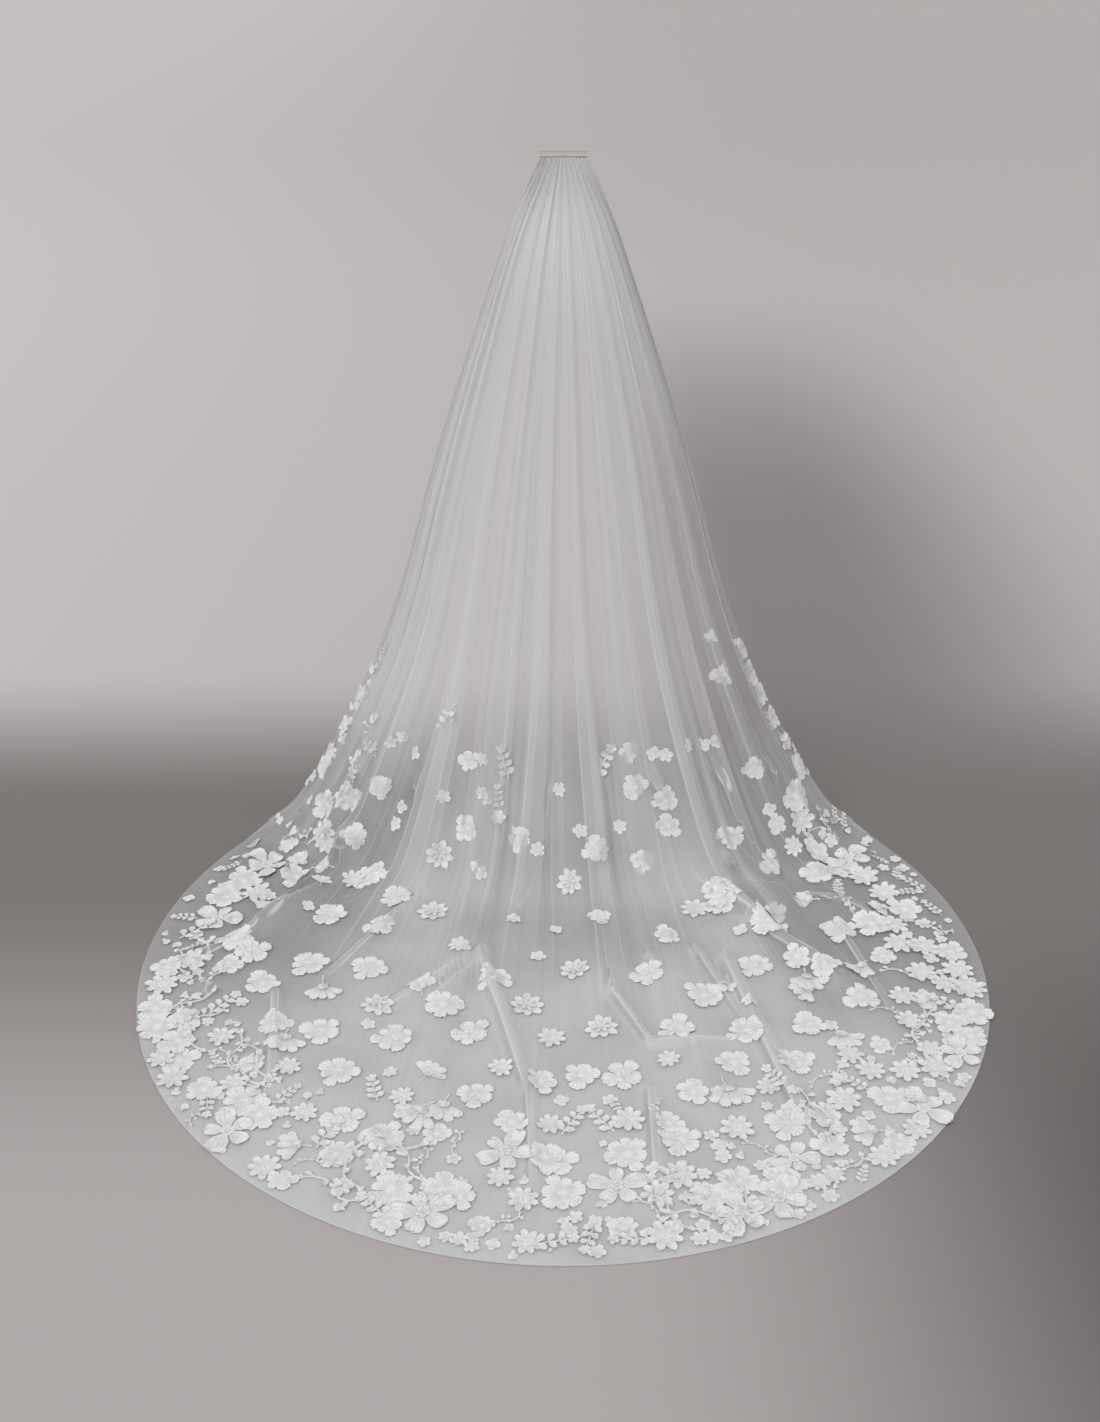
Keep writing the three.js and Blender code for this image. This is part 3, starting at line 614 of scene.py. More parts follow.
lace = {
    "thread": (0.87, 0.865, 0.845, 1),
    # the net's colour, also used for the painted shade in the grooves between rows
    "net": (0.68, 0.68, 0.67, 1),
    "netAlpha": 0.86,
    "roughness": 0.7,
    "gloss": 0.3,
    "sheen": 0.15,
    "sideCord": 0.3,
    "sideCordFrom": (0.74, 0.9),
    "tipCordFrom": (0.88, 0.97),
    "patchNoise": 55.0,
    "threadNoise": 900.0,
    "mottleNoise": 330.0,
    # stitches and rows: waves across the petal, waves along it, how far the patches bend them
    "stitches": (44, 3, 5),
    "rows": (26, 0, 4),
    "arcs": (0, 26, 6),
    # where the net shows and how much: middle of the petal, painted shade in the grooves between rows,
    # mottle, worn patches
    "gapsAlong": (0.05, 0.3, 0.4, 0.75),
    "gaps": 0.15,
    "grooveEdge": (-0.2, 0.8),
    "groovesAlong": (0.1, 0.3),
    "grooveShade": 0.38,
    "mottleEdge": (0.45, 0.68),
    "mottle": 0.6,
    "bareEdge": (0.5, 0.66),
    "bare": 0.4,
    "stitchOpen": 0.4,
    "toothTip": (0.955, 0.975),
    "toothEdge": (0.0, 0.4),
    # relief: cord, stitches, arcs and threads, then the bump's strength and distance
    "relief": (0.5, 0.35, 0.08, 0.35),
    "bump": (0.4, 0.0005),
    "wall": 0.0006,
    "stand": 0.0012,
    "lowest": 0.002,
}

# petals in shares of the flower's half breadth: half width, fullness of the tip (2 is round), how far out
# the widest place is, rise of the tip, cup of the sides, ruffle, dent in the tip
petals = {
    "pointed": {"wide": 0.27, "full": 1.6, "out": 1.35, "rise": 0.05, "cup": 0.04, "ruffle": 0.01, "dent": 0},
    "round": {"wide": 0.36, "full": 2.5, "out": 1.9, "rise": 0.04, "cup": 0.02, "ruffle": 0.03, "dent": 0.06},
    "leaf": {"wide": 0.32, "full": 1.6, "out": 0.9, "rise": 0.03, "cup": 0.04, "ruffle": 0.0, "dent": 0.0},
    "bead": {"wide": 0.50, "full": 2.0, "out": 1.0, "rise": 0.0, "cup": -0.16, "ruffle": 0.0, "dent": 0.0},
}


def petal(kind, start, tip, turn, lift=0.0, across=5, along=5, scale=1.0, at=(0.0, 0.0)):
    # u runs from side to side and v from root to tip, closer towards the tip; the width is
    # (1 - |2 v^out - 1|^full)^(1/full), and a shallow vein runs down the middle
    form = petals[kind]
    u = np.linspace(-1, 1, across)[:, None]
    v = 1 - (1 - np.linspace(0, 1, along)[None]) ** 1.6
    bulge = np.maximum(1 - np.abs(2 * v ** form["out"] - 1) ** form["full"], 0) ** (1 / form["full"])
    length = tip - start
    x = u * form["wide"] * length * bulge * scale
    y = start + length * (v - form["dent"] * v ** 4 * (1 - np.abs(u)) ** 2)
    z = form["rise"] * v ** 1.3 + form["cup"] * u ** 2 * bulge - 0.02 * (1 - np.abs(u)) * bulge
    z = z + form["ruffle"] * np.cos(5 * u + 9 * v) * v ** 2 + lift + 0 * x
    y = y + 0 * x
    c, s = math.cos(turn), math.sin(turn)
    points = np.stack([c * x - s * y + at[0], s * x + c * y + at[1], z], -1)
    uv = np.stack(np.broadcast_arrays((u + 1) / 2, v + 0 * u), -1)
    return points.reshape(-1, 3), gridFaces(across, along), uv.reshape(-1, 2)


def lobes(count, notch, scallop=0.03, across=7, out=5, lift=0.0, size=1.0, turn=0.0, spread=2 * math.pi,
          at=(0.0, 0.0), curl=0.03, uneven=0.0):
    # wedges round a middle: reach = size (1 - notch |u|^3 - scallop); sines of a wedge's number make no two
    # alike in width, reach and curl, and a small slope across each steps it over the next
    u = np.linspace(-1, 1, across)[:, None]
    v = np.linspace(0, 1, out)[None] ** 0.8
    parts = []
    starts = [k + uneven * math.sin(4 * math.pi * k / count + count) for k in range(count + 1)]
    for k in range(count):
        reach = size * (1 + (0.05 + uneven / 2) * math.sin(2.7 * k + count + turn))
        edge = reach * (1 - notch * np.abs(u) ** 3 - scallop * (0.5 - 0.5 * np.cos(3 * math.pi * u)))
        angle = turn + spread * (starts[k] + (u + 1) / 2 * (starts[k + 1] - starts[k])) / count - spread / 2
        x, y = -np.sin(angle) * edge * v + at[0], np.cos(angle) * edge * v + at[1]
        z = lift + curl * v ** 3 * (1 + 0.8 * math.sin(1.9 * k + count))
        z = z + 0.003 * u * v + 0.003 * np.cos(9 * v)
        uv = np.stack(np.broadcast_arrays((u + 1) / 2, v + 0 * u), -1)
        parts.append((np.stack([x, y, z], -1).reshape(-1, 3), gridFaces(across, out), uv.reshape(-1, 2)))
    return parts


def ring(count, kind, start, tip, lift=0.0, turn=0.0, vary=0.06, **more):
    # petals set round the heart; a sine of the petal's number makes each a little longer or shorter
    step = 2 * math.pi / count
    sizes = [tip * (1 + vary * math.sin(2.4 * k + count)) for k in range(count)]
    return [petal(kind, start, size, turn + k * step, lift, **more) for k, size in enumerate(sizes)]


def stem(points, width, lift=0.04, steps=8):
    # a flat cord along a smooth path, raised along its middle
    t = np.linspace(0, 1, len(points))
    s = np.linspace(0, 1, steps)
    path = np.stack([np.interp(s, t, [p[k] for p in points]) for k in range(2)], -1)
    way = unit(np.gradient(path, axis=0))
    side = np.stack([-way[:, 1], way[:, 0]], -1)
    u = np.linspace(-1, 1, 3)[:, None, None]
    flat = path[None] + side[None] * u * width
    z = lift * (1 - 0.8 * np.abs(u[..., 0])) + 0 * flat[..., 0]
    uv = np.stack(np.broadcast_arrays((u[..., 0] + 1) / 2, s[None]), -1)
    return np.concatenate([flat, z[..., None]], -1).reshape(-1, 3), gridFaces(3, steps), uv.reshape(-1, 2)


def joined(parts):
    starts = np.cumsum([0] + [len(p[0]) for p in parts[:-1]])
    points = np.concatenate([p[0] for p in parts])
    faces = np.concatenate([p[1] + start for p, start in zip(parts, starts)])
    return points, faces, np.concatenate([p[2] for p in parts])


def buds(places, size):
    return [petal("bead", -size, size, 0.7 * k, 0.06, 3, 4, 1.0, at) for k, at in enumerate(places)]


def flowerShape(kind, fine, form=0):
    # fine is 1 for the large flowers that are solids of their own and 0 for the scattered ones; all places
    # and lengths are in shares of the half breadth
    a, b = (9, 7) if fine else (7, 4)
    if kind == "blossom":
        count, notch = ((6, 0.2), (5, 0.24), (7, 0.18))[form]
        outer = lobes(count, notch, 0.05, a, b, curl=0.025, uneven=0.15)
        inner = lobes(5, 0.16, 0.03, a - 2, b - 2, 0.004, 0.44, 0.6, curl=0.004, uneven=0.15)
        return joined(outer + (inner if fine and form == 1 else []))
    if kind == "daisy":
        heart = buds([(0.0, 0.0), (0.08, 0.05), (-0.08, 0.05), (0.0, -0.09)], 0.07)
        outer = ring(8, "pointed", 0.02, 1.0, across=a - 2, along=b)
        inner = ring(6, "pointed", 0.02, 0.52, 0.04, 0.3, across=4, along=b - 1)
        return joined(outer + (inner if fine else []) + (heart if fine else heart[:1]))
    if kind == "openFlower":
        heart = buds([(0.0, 0.0), (0.1, 0.0), (-0.1, 0.0), (0.0, 0.1), (0.0, -0.1)], 0.06)
        outer = ring(5, "round", 0.06, 1.0, vary=0.16, across=a, along=b + 1)
        inner = lobes(5, 0.25, 0.0, a - 2, b - 2, 0.02, 0.26, 0.4, curl=0.01)
        return joined(outer + inner + heart)
    if kind == "bell":
        fan = lobes(5, 0.14, 0.0, a - 2, b + 1, 0.0, 1.3, 0.0, 2.3, (0.0, -0.42), 0.05)
        calyx = [petal("leaf", -0.5, 0.0, turn, 0.08, 4, 4, 1.4) for turn in (-0.5, 0.0, 0.5)]
        return joined(fan + calyx + [stem([(0, -0.4), (0.03, -0.7), (-0.05, -1.0)], 0.05)])
    if kind == "smallBlossom":
        count = (5, 6, 4)[form]
        return joined(lobes(count, 0.3, 0.0, 5, 3, curl=0.05) + buds([(0.0, 0.0)], 0.13))
    if kind == "bud":
        calyx = petal("leaf", -0.9, 0.1, 0.0, 0.1, 3, 4, 1.3)
        return joined([petal("bead", -0.6, 1.0, 0.0, 0.1, 5, 5), calyx])
    if kind == "sprig":
        leaves = []
        for k in range(3):
            y = -0.75 + 0.46 * k
            for side in (-1, 1):
                leaves.append(petal("leaf", 0.0, 0.55 - 0.05 * k, side * 0.95, 0.03, 3, 4, 1.1, (0.0, y)))
        tip = lobes(5, 0.3, 0.0, 4, 3, 0.04, 0.3, 0.0, 2 * math.pi, (0.0, 0.78), 0.03)
        return joined(leaves + tip + [stem([(0.06, -1.0), (0.0, -0.4), (0.0, 0.7)], 0.045)])
    if kind == "vine":
        path = [(-1.0, -0.25), (-0.7, 0.05), (-0.3, 0.2), (0.1, 0.1), (0.5, -0.1), (0.8, -0.02), (1.0, 0.2)]
        leaves = [petal("leaf", 0.0, 0.3, 2.0 * k - 4.4, 0.03, 3, 4, 1.0, at)
                  for k, at in enumerate(path[1:-1])]
        ends = [petal("bead", -0.12, 0.12, 0.0, 0.05, 4, 4, 1.0, at)
                for at in (path[0], path[-1], (0.45, 0.18))]
        return joined(leaves + ends + [stem(path, 0.045, 0.03, 14)])
    if kind == "fringed":
        fan = [petal("pointed", -0.5, 0.82 + 0.1 * math.sin(5 * k), 0.24 * (k - 4), 0.03 * (k % 3), 3, 4, 0.8)
               for k in range(9)]
        calyx = [petal("leaf", -0.75, -0.1, turn, 0.12, 3, 4, 1.5) for turn in (-0.35, 0.35)]
        return joined(fan + calyx + [stem([(0, -0.65), (0.05, -1.0)], 0.04, steps=4)])


def layOn(shape, across, down, breadth, turn, layer):
    # each flower keeps its own form in its plane and follows the cloth's rise and fall under it
    points = shape[0]
    half = breadth[:, None] / 2
    c, s = np.cos(turn)[:, None], np.sin(turn)[:, None]
    x = (c * points[:, 0] - s * points[:, 1]) * half
    y = (s * points[:, 0] + c * points[:, 1]) * half
    stretch, skew = cloth.frameAt(across, down)
    sideways = x / stretch[:, None]
    placeAcross = np.clip(across[:, None] + sideways, -1, 1)
    placeDown = np.maximum(down[:, None] - y - skew[:, None] * sideways, 0)
    under = cloth.read(cloth.points, placeAcross, placeDown)
    centre = cloth.read(cloth.points, across, down)[:, None]
    arm = under - under.mean(1, keepdims=True)
    one = unit((x[..., None] * arm).sum(1, keepdims=True))
    other = (y[..., None] * arm).sum(1, keepdims=True)
    other = unit(other - one * (one * other).sum(-1, keepdims=True))
    normal = np.cross(one, other)
    height = ((under - centre) * normal).sum(-1)
    rise = points[:, 2] * half + lace["stand"] + layer[:, None]
    laid = centre + one * x[..., None] + other * y[..., None] + normal * (height + rise)[..., None]
    laid[..., 2] = np.maximum(laid[..., 2], lace["lowest"] - hangHeight)
    count, size = laid.shape[:2]
    faces = (shape[1][None] + (np.arange(count) * size)[:, None, None]).reshape(-1, 4)
    return laid.reshape(-1, 3), faces, np.tile(shape[2], (count, 1))


def laceMaterial():
    # satin stitches run along each petal to a corded edge; near the heart the net shows between them, and
    # painted shade darkens the grooves between rows
    material, start = newMaterial("whiteLace")
    layout = start.layout("petal")
    right, along = layout.part(0), layout.part(1)
    side = (right * 2 - 1).math("ABSOLUTE")
    cord = side.between(*lace["sideCordFrom"]) * lace["sideCord"]
    cord = cord.math("MAXIMUM", along.between(*lace["tipCordFrom"]))
    where = start.objectPlace()
    patch, thread, mottle = (where.noise(lace[key]) for key in ("patchNoise", "threadNoise", "mottleNoise"))
    stitch, row, arcs = ((right * waves[0] + along * waves[1] + patch * waves[2]).math("SINE")
                         for waves in (lace["stitches"], lace["rows"], lace["arcs"]))
    gaps = along.within(*lace["gapsAlong"]) * (1 - cord)
    # painted shade in the grooves between stitch rows
    grooveShade = row.between(*lace["grooveEdge"]) * along.between(*lace["groovesAlong"]) * (1 - cord)
    bare = patch.between(*lace["bareEdge"]) * (1 - cord)
    netAndGrooveShade = gaps * lace["gaps"] + grooveShade * lace["grooveShade"]
    netAndGrooveShade = netAndGrooveShade + mottle.between(*lace["mottleEdge"]) * lace["mottle"] + bare * lace["bare"]
    teeth = along.between(*lace["toothTip"]) * row.between(*lace["toothEdge"])
    clear = (gaps + bare).math("MINIMUM", 1.0) * (1 - lace["stitchOpen"] + lace["stitchOpen"] * stitch)
    heights = (cord, stitch, arcs * (1 - cord), thread)
    relief = sum(height * share for height, share in zip(heights, lace["relief"]))
    return finished(material, {
        "Base Color": netAndGrooveShade.math("MINIMUM", 1.0).mixed(lace["thread"], lace["net"]),
        "Roughness": lace["roughness"],
        "Specular IOR Level": lace["gloss"],
        "Sheen Weight": lace["sheen"],
        "Alpha": (1 - (1 - lace["netAlpha"]) * clear) * (1 - teeth),
        "Normal": relief.bump(*lace["bump"]),
    })


laceFinish = laceMaterial()


def sew(name, shape, places, node=None, wall=True):
    across, down, breadth, turn, layer = (np.array(v, float) for v in zip(*places))
    points, faces, uv = layOn(shape, across, down, breadth, turn, layer)
    made = meshObject(name, points, faces, laceFinish, "petal", uv)
    if wall:
        skin = made.modifiers.new("wall", "SOLIDIFY")
        skin.thickness = lace["wall"]
        skin.offset = 1
    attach(made, "root")
    if node:
        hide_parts(node)
    return made


# the large flowers that are solids of their own: kind, then across, distance down, breadth, turn
mainFlowers = {
    "blossom": (
        (-0.26, 1.38, 0.052, 10), (-0.32, 1.77, 0.070, 40), (-0.43, 1.9, 0.076, 0), (-0.32, 1.9, 0.070, 25),
        (-0.3, 2.04, 0.078, 60), (-0.4, 2.08, 0.084, 15), (-0.51, 2.12, 0.076, 33), (-0.22, 2.24, 0.082, 5),
        (-0.32, 2.27, 0.080, 50), (-0.12, 2.19, 0.078, 20), (-0.27, 2.37, 0.080, 65),
        (-0.1, 2.38, 0.070, 30), (-0.24, 2.5, 0.082, 12), (-0.36, 2.52, 0.090, 45), (0.41, 1.61, 0.060, 22),
        (0.47, 1.72, 0.068, 8), (0.3, 1.75, 0.076, 35), (0.38, 1.87, 0.074, 55), (0.13, 1.99, 0.078, 18),
        (0.3, 2.03, 0.074, 28), (0.49, 2.01, 0.080, 3), (0.15, 2.19, 0.084, 42), (0.24, 2.23, 0.078, 10),
        (0.43, 2.23, 0.076, 62), (0.07, 2.32, 0.082, 26), (0.24, 2.51, 0.084, 48), (0.12, 2.51, 0.080, 14),
    ),
    "daisy": (
        (-0.28, 1.62, 0.064, 0), (-0.24, 1.78, 0.070, 12), (-0.26, 2.15, 0.068, 20),
        (-0.05, 2.09, 0.070, 5), (0.02, 1.65, 0.060, 16), (0.02, 1.96, 0.064, 30), (0.05, 2.17, 0.068, 9),
    ),
    "openFlower": (
        (-0.13, 2.7, 0.104, 18), (-0.06, 2.53, 0.094, 40), (0.05, 2.62, 0.094, 0), (0.2, 2.69, 0.104, 30),
    ),
    "bell": (
        (-0.35, 2.15, 0.062, 200), (-0.16, 2.45, 0.076, 150), (0.37, 2.12, 0.066, 170),
        (0.19, 2.4, 0.076, 190),
    ),
}
# name of the solid's node, number of forms, and how much wider than the solid the lace is sewn
flowerKinds = {
    "blossom": {"node": "blossom", "forms": 3, "wider": 1.1},
    "daisy": {"node": "daisy", "forms": 1, "wider": 1.1},
    "openFlower": {"node": "open_flower", "forms": 1, "wider": 1.1},
    "bell": {"node": "bell", "forms": 1, "wider": 1.28},
}
taken = []

for kind, rows in mainFlowers.items():
    about = flowerKinds[kind]
    shapes = [flowerShape(kind, 1, form) for form in range(about["forms"])]
    for number, (across, down, breadth, turn) in enumerate(rows, 1):
        place = (across, down, breadth * about["wider"], math.radians(turn), 0.0)
        sew(f"{kind}Lace{number:02d}", shapes[number % len(shapes)], [place], f"{about['node']}_{number:02d}")
        taken.append(place)
print("veil: large flowers sewn on,", len(taken))


def pixelPlaces(pixels):
    # where a look through each pixel of the photograph first meets the outer side of the cloth, how deep, and
    # how squarely the cloth faces the camera there
    pitch = math.radians(photo["pitch"])
    arm = cloth.points - np.array(photo["place"])
    forward = np.array([0, math.cos(pitch), -math.sin(pitch)])
    upward = np.array([0, math.sin(pitch), math.cos(pitch)])
    depth = arm @ forward
    px = photo["wide"] / 2 + photo["focal"] * arm[..., 0] / depth
    py = photo["high"] / 2 - photo["focal"] * (arm @ upward) / depth
    outer = (cloth.normals * arm).sum(-1) < 0
    square = np.abs((cloth.baseNormals * unit(arm)).sum(-1))
    found = []
    for x, y in pixels:
        miss = np.maximum(np.hypot(px - x, py - y) - photo["missFree"], 0)
        cost = np.where(outer, depth + photo["missCost"] * miss ** 2, np.inf)
        i, j = np.unravel_index(np.argmin(cost), cost.shape)
        found.append((cloth.across[i], cloth.down[i, j], depth[i, j], square[i, j]))
    return np.array(found)


# smaller flowers charted on the photograph, in its pixels: right, below, breadth, and for some a turn
charted = {
    "blossom": (
        (225, 897, 34), (263, 945, 36), (330, 919, 33), (394, 903, 32), (378, 934, 30), (235, 937, 45),
        (228, 962, 28), (300, 970, 34), (326, 958, 26), (373, 973, 37), (264, 982, 32), (155, 1007, 36),
        (150, 1032, 36), (166, 967, 26), (177, 1040, 36), (273, 1018, 32), (322, 1033, 34), (401, 1039, 41),
        (474, 1035, 40), (442, 1004, 36), (177, 1061, 38), (253, 1065, 28), (205, 1090, 32),
        (344, 1070, 40), (260, 1116, 41), (335, 1123, 43), (335, 1154, 36), (383, 1134, 44),
        (474, 1098, 36), (541, 1081, 32), (394, 1189, 47), (438, 1136, 28), (491, 1149, 45),
        (279, 1190, 28), (388, 1223, 30), (441, 1189, 47), (513, 1123, 32), (480, 1227, 24),
        (546, 1158, 36), (462, 1197, 33), (496, 974, 32), (243, 880, 28), (298, 877, 32), (355, 834, 24),
        (348, 798, 28), (325, 804, 27), (380, 787, 20), (374, 871, 22), (397, 896, 24), (380, 788, 22),
        (467, 828, 26), (365, 877, 26), (517, 840, 24), (597, 850, 26), (635, 785, 24), (632, 752, 20),
        (755, 770, 22), (733, 838, 26), (664, 800, 24), (667, 825, 24), (645, 862, 22), (600, 915, 22),
        (735, 885, 24), (649, 979, 36), (676, 1033, 39), (721, 903, 32), (772, 917, 35), (669, 933, 26),
        (756, 967, 36), (702, 996, 36), (747, 1036, 38), (734, 1063, 33), (694, 1091, 33), (789, 1061, 24),
        (584, 1077, 33), (629, 1080, 38), (553, 1161, 40), (626, 1156, 45), (666, 1123, 28),
        (688, 1145, 45), (783, 1130, 38), (737, 1183, 43), (564, 1194, 45), (613, 1194, 45),
        (711, 1196, 34), (780, 1183, 38), (794, 1214, 28), (625, 1229, 26), (859, 1005, 38),
        (808, 1025, 32), (880, 1046, 22), (797, 1061, 34), (824, 1116, 32), (785, 1125, 41),
        (831, 1146, 34), (901, 1150, 32), (891, 1099, 38), (787, 1185, 46), (974, 1013, 34),
        (949, 1022, 30), (953, 1040, 24), (977, 1043, 30), (796, 796, 27), (777, 824, 20), (816, 851, 28),
        (817, 870, 34), (840, 870, 22), (772, 918, 34), (844, 934, 34), (872, 922, 34), (904, 908, 28),
        (950, 952, 26), (882, 955, 24), (797, 956, 28), (822, 963, 28), (758, 966, 34), (727, 672, 22),
    ),
    "daisy": (
        (190, 959, 24), (161, 985, 28), (433, 911, 24), (223, 1036, 26), (379, 1013, 24), (462, 943, 22),
        (532, 1010, 24), (154, 1065, 26), (166, 1084, 30), (286, 1068, 24), (234, 1084, 26),
        (305, 1112, 26), (232, 1109, 26), (400, 1098, 24), (499, 1070, 24), (262, 1168, 32),
        (381, 1167, 30), (342, 1189, 24), (521, 1200, 30), (497, 1180, 26), (526, 1244, 30), (318, 831, 28),
        (326, 843, 20), (254, 891, 24), (356, 881, 22), (437, 855, 24), (577, 886, 23), (579, 974, 27),
        (550, 1037, 27), (669, 1061, 22), (694, 908, 28), (767, 1086, 24), (550, 1125, 26), (629, 1121, 32),
        (736, 1131, 33), (679, 1174, 36), (656, 1196, 32), (663, 1243, 38), (844, 1099, 34),
        (870, 1069, 28), (849, 1056, 26), (925, 1145, 28), (891, 1174, 30), (834, 1176, 24),
        (818, 1185, 22), (903, 995, 27), (906, 1020, 25), (930, 1049, 25), (936, 1068, 36), (906, 1070, 29),
        (970, 988, 29), (946, 985, 24), (801, 820, 25), (795, 845, 20), (864, 878, 30), (885, 893, 31),
        (895, 924, 25), (901, 943, 30), (924, 947, 30), (958, 970, 34), (922, 972, 25), (966, 987, 34),
    ),
    "openFlower": (
        (216, 918, 41), (221, 1138, 55), (436, 1230, 58), (606, 1033, 32), (744, 1221, 52), (794, 1157, 42),
        (930, 1121, 55), (972, 1063, 42), (266, 865, 36), (775, 866, 33), (849, 857, 35),
    ),
    "bell": (
        (324, 991, 28, -40), (420, 985, 26, 20), (191, 1015, 32, 150), (286, 1043, 36, 200),
        (295, 1146, 34, 100), (441, 1108, 41, 170), (431, 1072, 30, -30), (725, 984, 22, 160),
        (734, 1102, 43, 190), (806, 991, 30, 100), (844, 1037, 38, 190), (865, 1131, 36, 80),
        (932, 999, 30, 80), (882, 908, 22, 80), (859, 968, 28, 120), (807, 900, 25, 60),
        (324, 864, 20, 120), (322, 880, 18, 20), (624, 1229, 28, 0), (703, 1196, 30, 60),
    ),
    "fringed": (
        (298, 859, 30, 10), (918, 1100, 26, -100), (838, 1080, 26, -70),
    ),
    "smallBlossom": (
        (404, 738, 13), (391, 742, 13), (415, 752, 15), (445, 797, 14), (480, 793, 13), (488, 800, 13),
        (468, 760, 16), (480, 758, 14), (400, 806, 13), (396, 822, 14), (497, 815, 14), (481, 873, 14),
        (395, 903, 14), (515, 917, 14), (555, 930, 13), (538, 955, 15), (561, 788, 14), (629, 793, 14),
        (580, 830, 14), (620, 825, 14), (653, 752, 14), (665, 755, 15), (690, 744, 14), (702, 744, 14),
        (716, 740, 14), (537, 848, 14), (465, 945, 14), (720, 900, 14), (440, 1000, 14), (418, 985, 14),
        (262, 903, 20), (197, 934, 14), (185, 977, 13), (453, 1161, 14), (474, 1249, 15), (491, 1246, 15),
        (367, 1024, 14), (599, 919, 14), (741, 930, 20), (751, 998, 18), (720, 1090, 16), (718, 1145, 17),
        (722, 1156, 17), (704, 1173, 15), (674, 1228, 15), (706, 1226, 15), (567, 1229, 18),
        (598, 1223, 15), (599, 1255, 17), (697, 1243, 17), (713, 1244, 18), (830, 1025, 15),
        (791, 1090, 13), (790, 1108, 15), (839, 1131, 16), (837, 1204, 17), (930, 1082, 14),
        (946, 1100, 20), (755, 771, 16), (769, 810, 16), (832, 841, 16), (924, 924, 14), (932, 958, 15),
        (286, 845, 14), (270, 895, 15), (561, 1101, 15), (609, 1101, 15), (389, 1072, 14), (344, 784, 15),
        (358, 758, 14), (369, 745, 13), (376, 722, 13), (715, 637, 16), (242, 1001, 13), (309, 905, 13),
    ),
    "bud": (
        (176, 945, 10), (199, 995, 11), (174, 1025, 11), (184, 1109, 11), (342, 1211, 13), (525, 1178, 12),
        (511, 1227, 12), (683, 1201, 12), (693, 1215, 12), (838, 1164, 13), (892, 1079, 12),
        (873, 1158, 11), (942, 1094, 12), (962, 1089, 12), (825, 821, 11), (811, 836, 11), (823, 836, 11),
        (939, 932, 11), (293, 829, 11), (294, 841, 11), (307, 843, 11), (385, 872, 12), (513, 829, 12),
        (472, 868, 12),
    ),
    "sprig": (
        (225, 1002, 38, -50), (269, 1079, 26, 40), (289, 1094, 28, 5), (374, 1090, 34, -25),
        (571, 1123, 46, 15), (601, 1121, 46, -10), (777, 1077, 34, 50), (632, 1252, 40, 90),
        (557, 1252, 42, -85), (856, 1083, 28, -10), (838, 886, 22, 20), (654, 1106, 24, 30),
        (448, 718, 32, 40), (504, 762, 34, -15), (605, 762, 34, 5), (352, 770, 26, -30),
        (871, 1190, 24, -60), (498, 795, 24, -20), (616, 1105, 22, 150), (215, 1060, 24, 70),
    ),
    "vine": (
        (293, 836, 30, 25), (323, 1203, 60, -18), (313, 1163, 34, 0), (702, 1222, 70, -8),
        (856, 1183, 48, 12), (905, 1044, 32, 5), (824, 1078, 36, 5), (826, 830, 32, -30),
        (853, 905, 30, 50), (929, 926, 34, -35), (904, 972, 40, -30), (229, 1059, 34, -20),
        (191, 1122, 30, -50), (502, 1223, 40, 12), (182, 960, 30, 70), (566, 1238, 40, 10),
        (651, 1212, 44, -30), (760, 1150, 34, -25), (370, 742, 30, 65), (353, 778, 32, 60),
        (424, 1160, 34, 40), (890, 1010, 32, -20), (945, 1078, 30, 60), (690, 1190, 32, -60),
        (213, 978, 36, 45),
    ),
}
# least and greatest breadth of each kind in metres. Past sideFrom (the square of the place across) a charted
# breadth is foreshortened, elsewhere it is a little wider than charted. From largeFrom on, a flower nearer to
# a large one than largeGap is left out
chartRules = {
    "breadths": {
        "blossom": (0.05, 0.09), "daisy": (0.048, 0.078), "openFlower": (0.07, 0.11), "bell": (0.045, 0.085),
        "fringed": (0.055, 0.07), "smallBlossom": (0.026, 0.038), "bud": (0.02, 0.028), "sprig": (0.05, 0.09),
        "vine": (0.06, 0.14),
    },
    "sideFrom": 0.3,
    "leastSquare": 0.3,
    "middleWider": 1.14,
    "largeFrom": 0.045,
    "largeGap": 0.04,
    "turnStep": 1.9,
}

# trims sown between them. Each row: kinds with their shares and breadths, from where to where down the cloth,
# how deep a band along the free edges, how many tries, how near each other (1 is just touching), and how many
# of its own breadths a trim's middle keeps from the rim beside the gap. Trims that overlap lie in thin layers
border = {
    "seed": 41,
    "margin": 0.012,
    "hemGap": 0.004,
    "startsOver": 0.2,
    "vary": (0.85, 1.15),
    "layerStep": 0.0005,
    "layers": 5,
    "sown": (
        {"kinds": ("blossom", "daisy", "fringed"), "shares": (0.5, 0.3, 0.2),
         "breadths": (0.068, 0.058, 0.062), "from": 1.15, "until": 1.62, "deep": 0.15, "tries": 260,
         "apart": 0.84, "reach": 0.5},
        {"kinds": ("smallBlossom", "sprig", "vine", "bud"), "shares": (0.3, 0.3, 0.3, 0.1),
         "breadths": (0.034, 0.07, 0.1, 0.028), "from": 1.15, "until": 1.65, "deep": 0.16, "tries": 240,
         "apart": 0.7, "reach": 0.52},
        {"kinds": ("smallBlossom", "sprig", "vine", "bud"), "shares": (0.30, 0.24, 0.26, 0.20),
         "breadths": (0.03, 0.056, 0.08, 0.024), "from": 1.6, "until": 3.0, "deep": 0.3, "tries": 700,
         "apart": 0.74, "reach": 0.54},
        {"kinds": ("vine", "sprig"), "shares": (0.7, 0.3), "breadths": (0.13, 0.085),
         "from": 1.55, "until": 3.0, "deep": 0.26, "tries": 90, "apart": 0.2, "reach": 0.58},
    ),
}


def layerOf(number):
    return border["layerStep"] * (number % border["layers"])


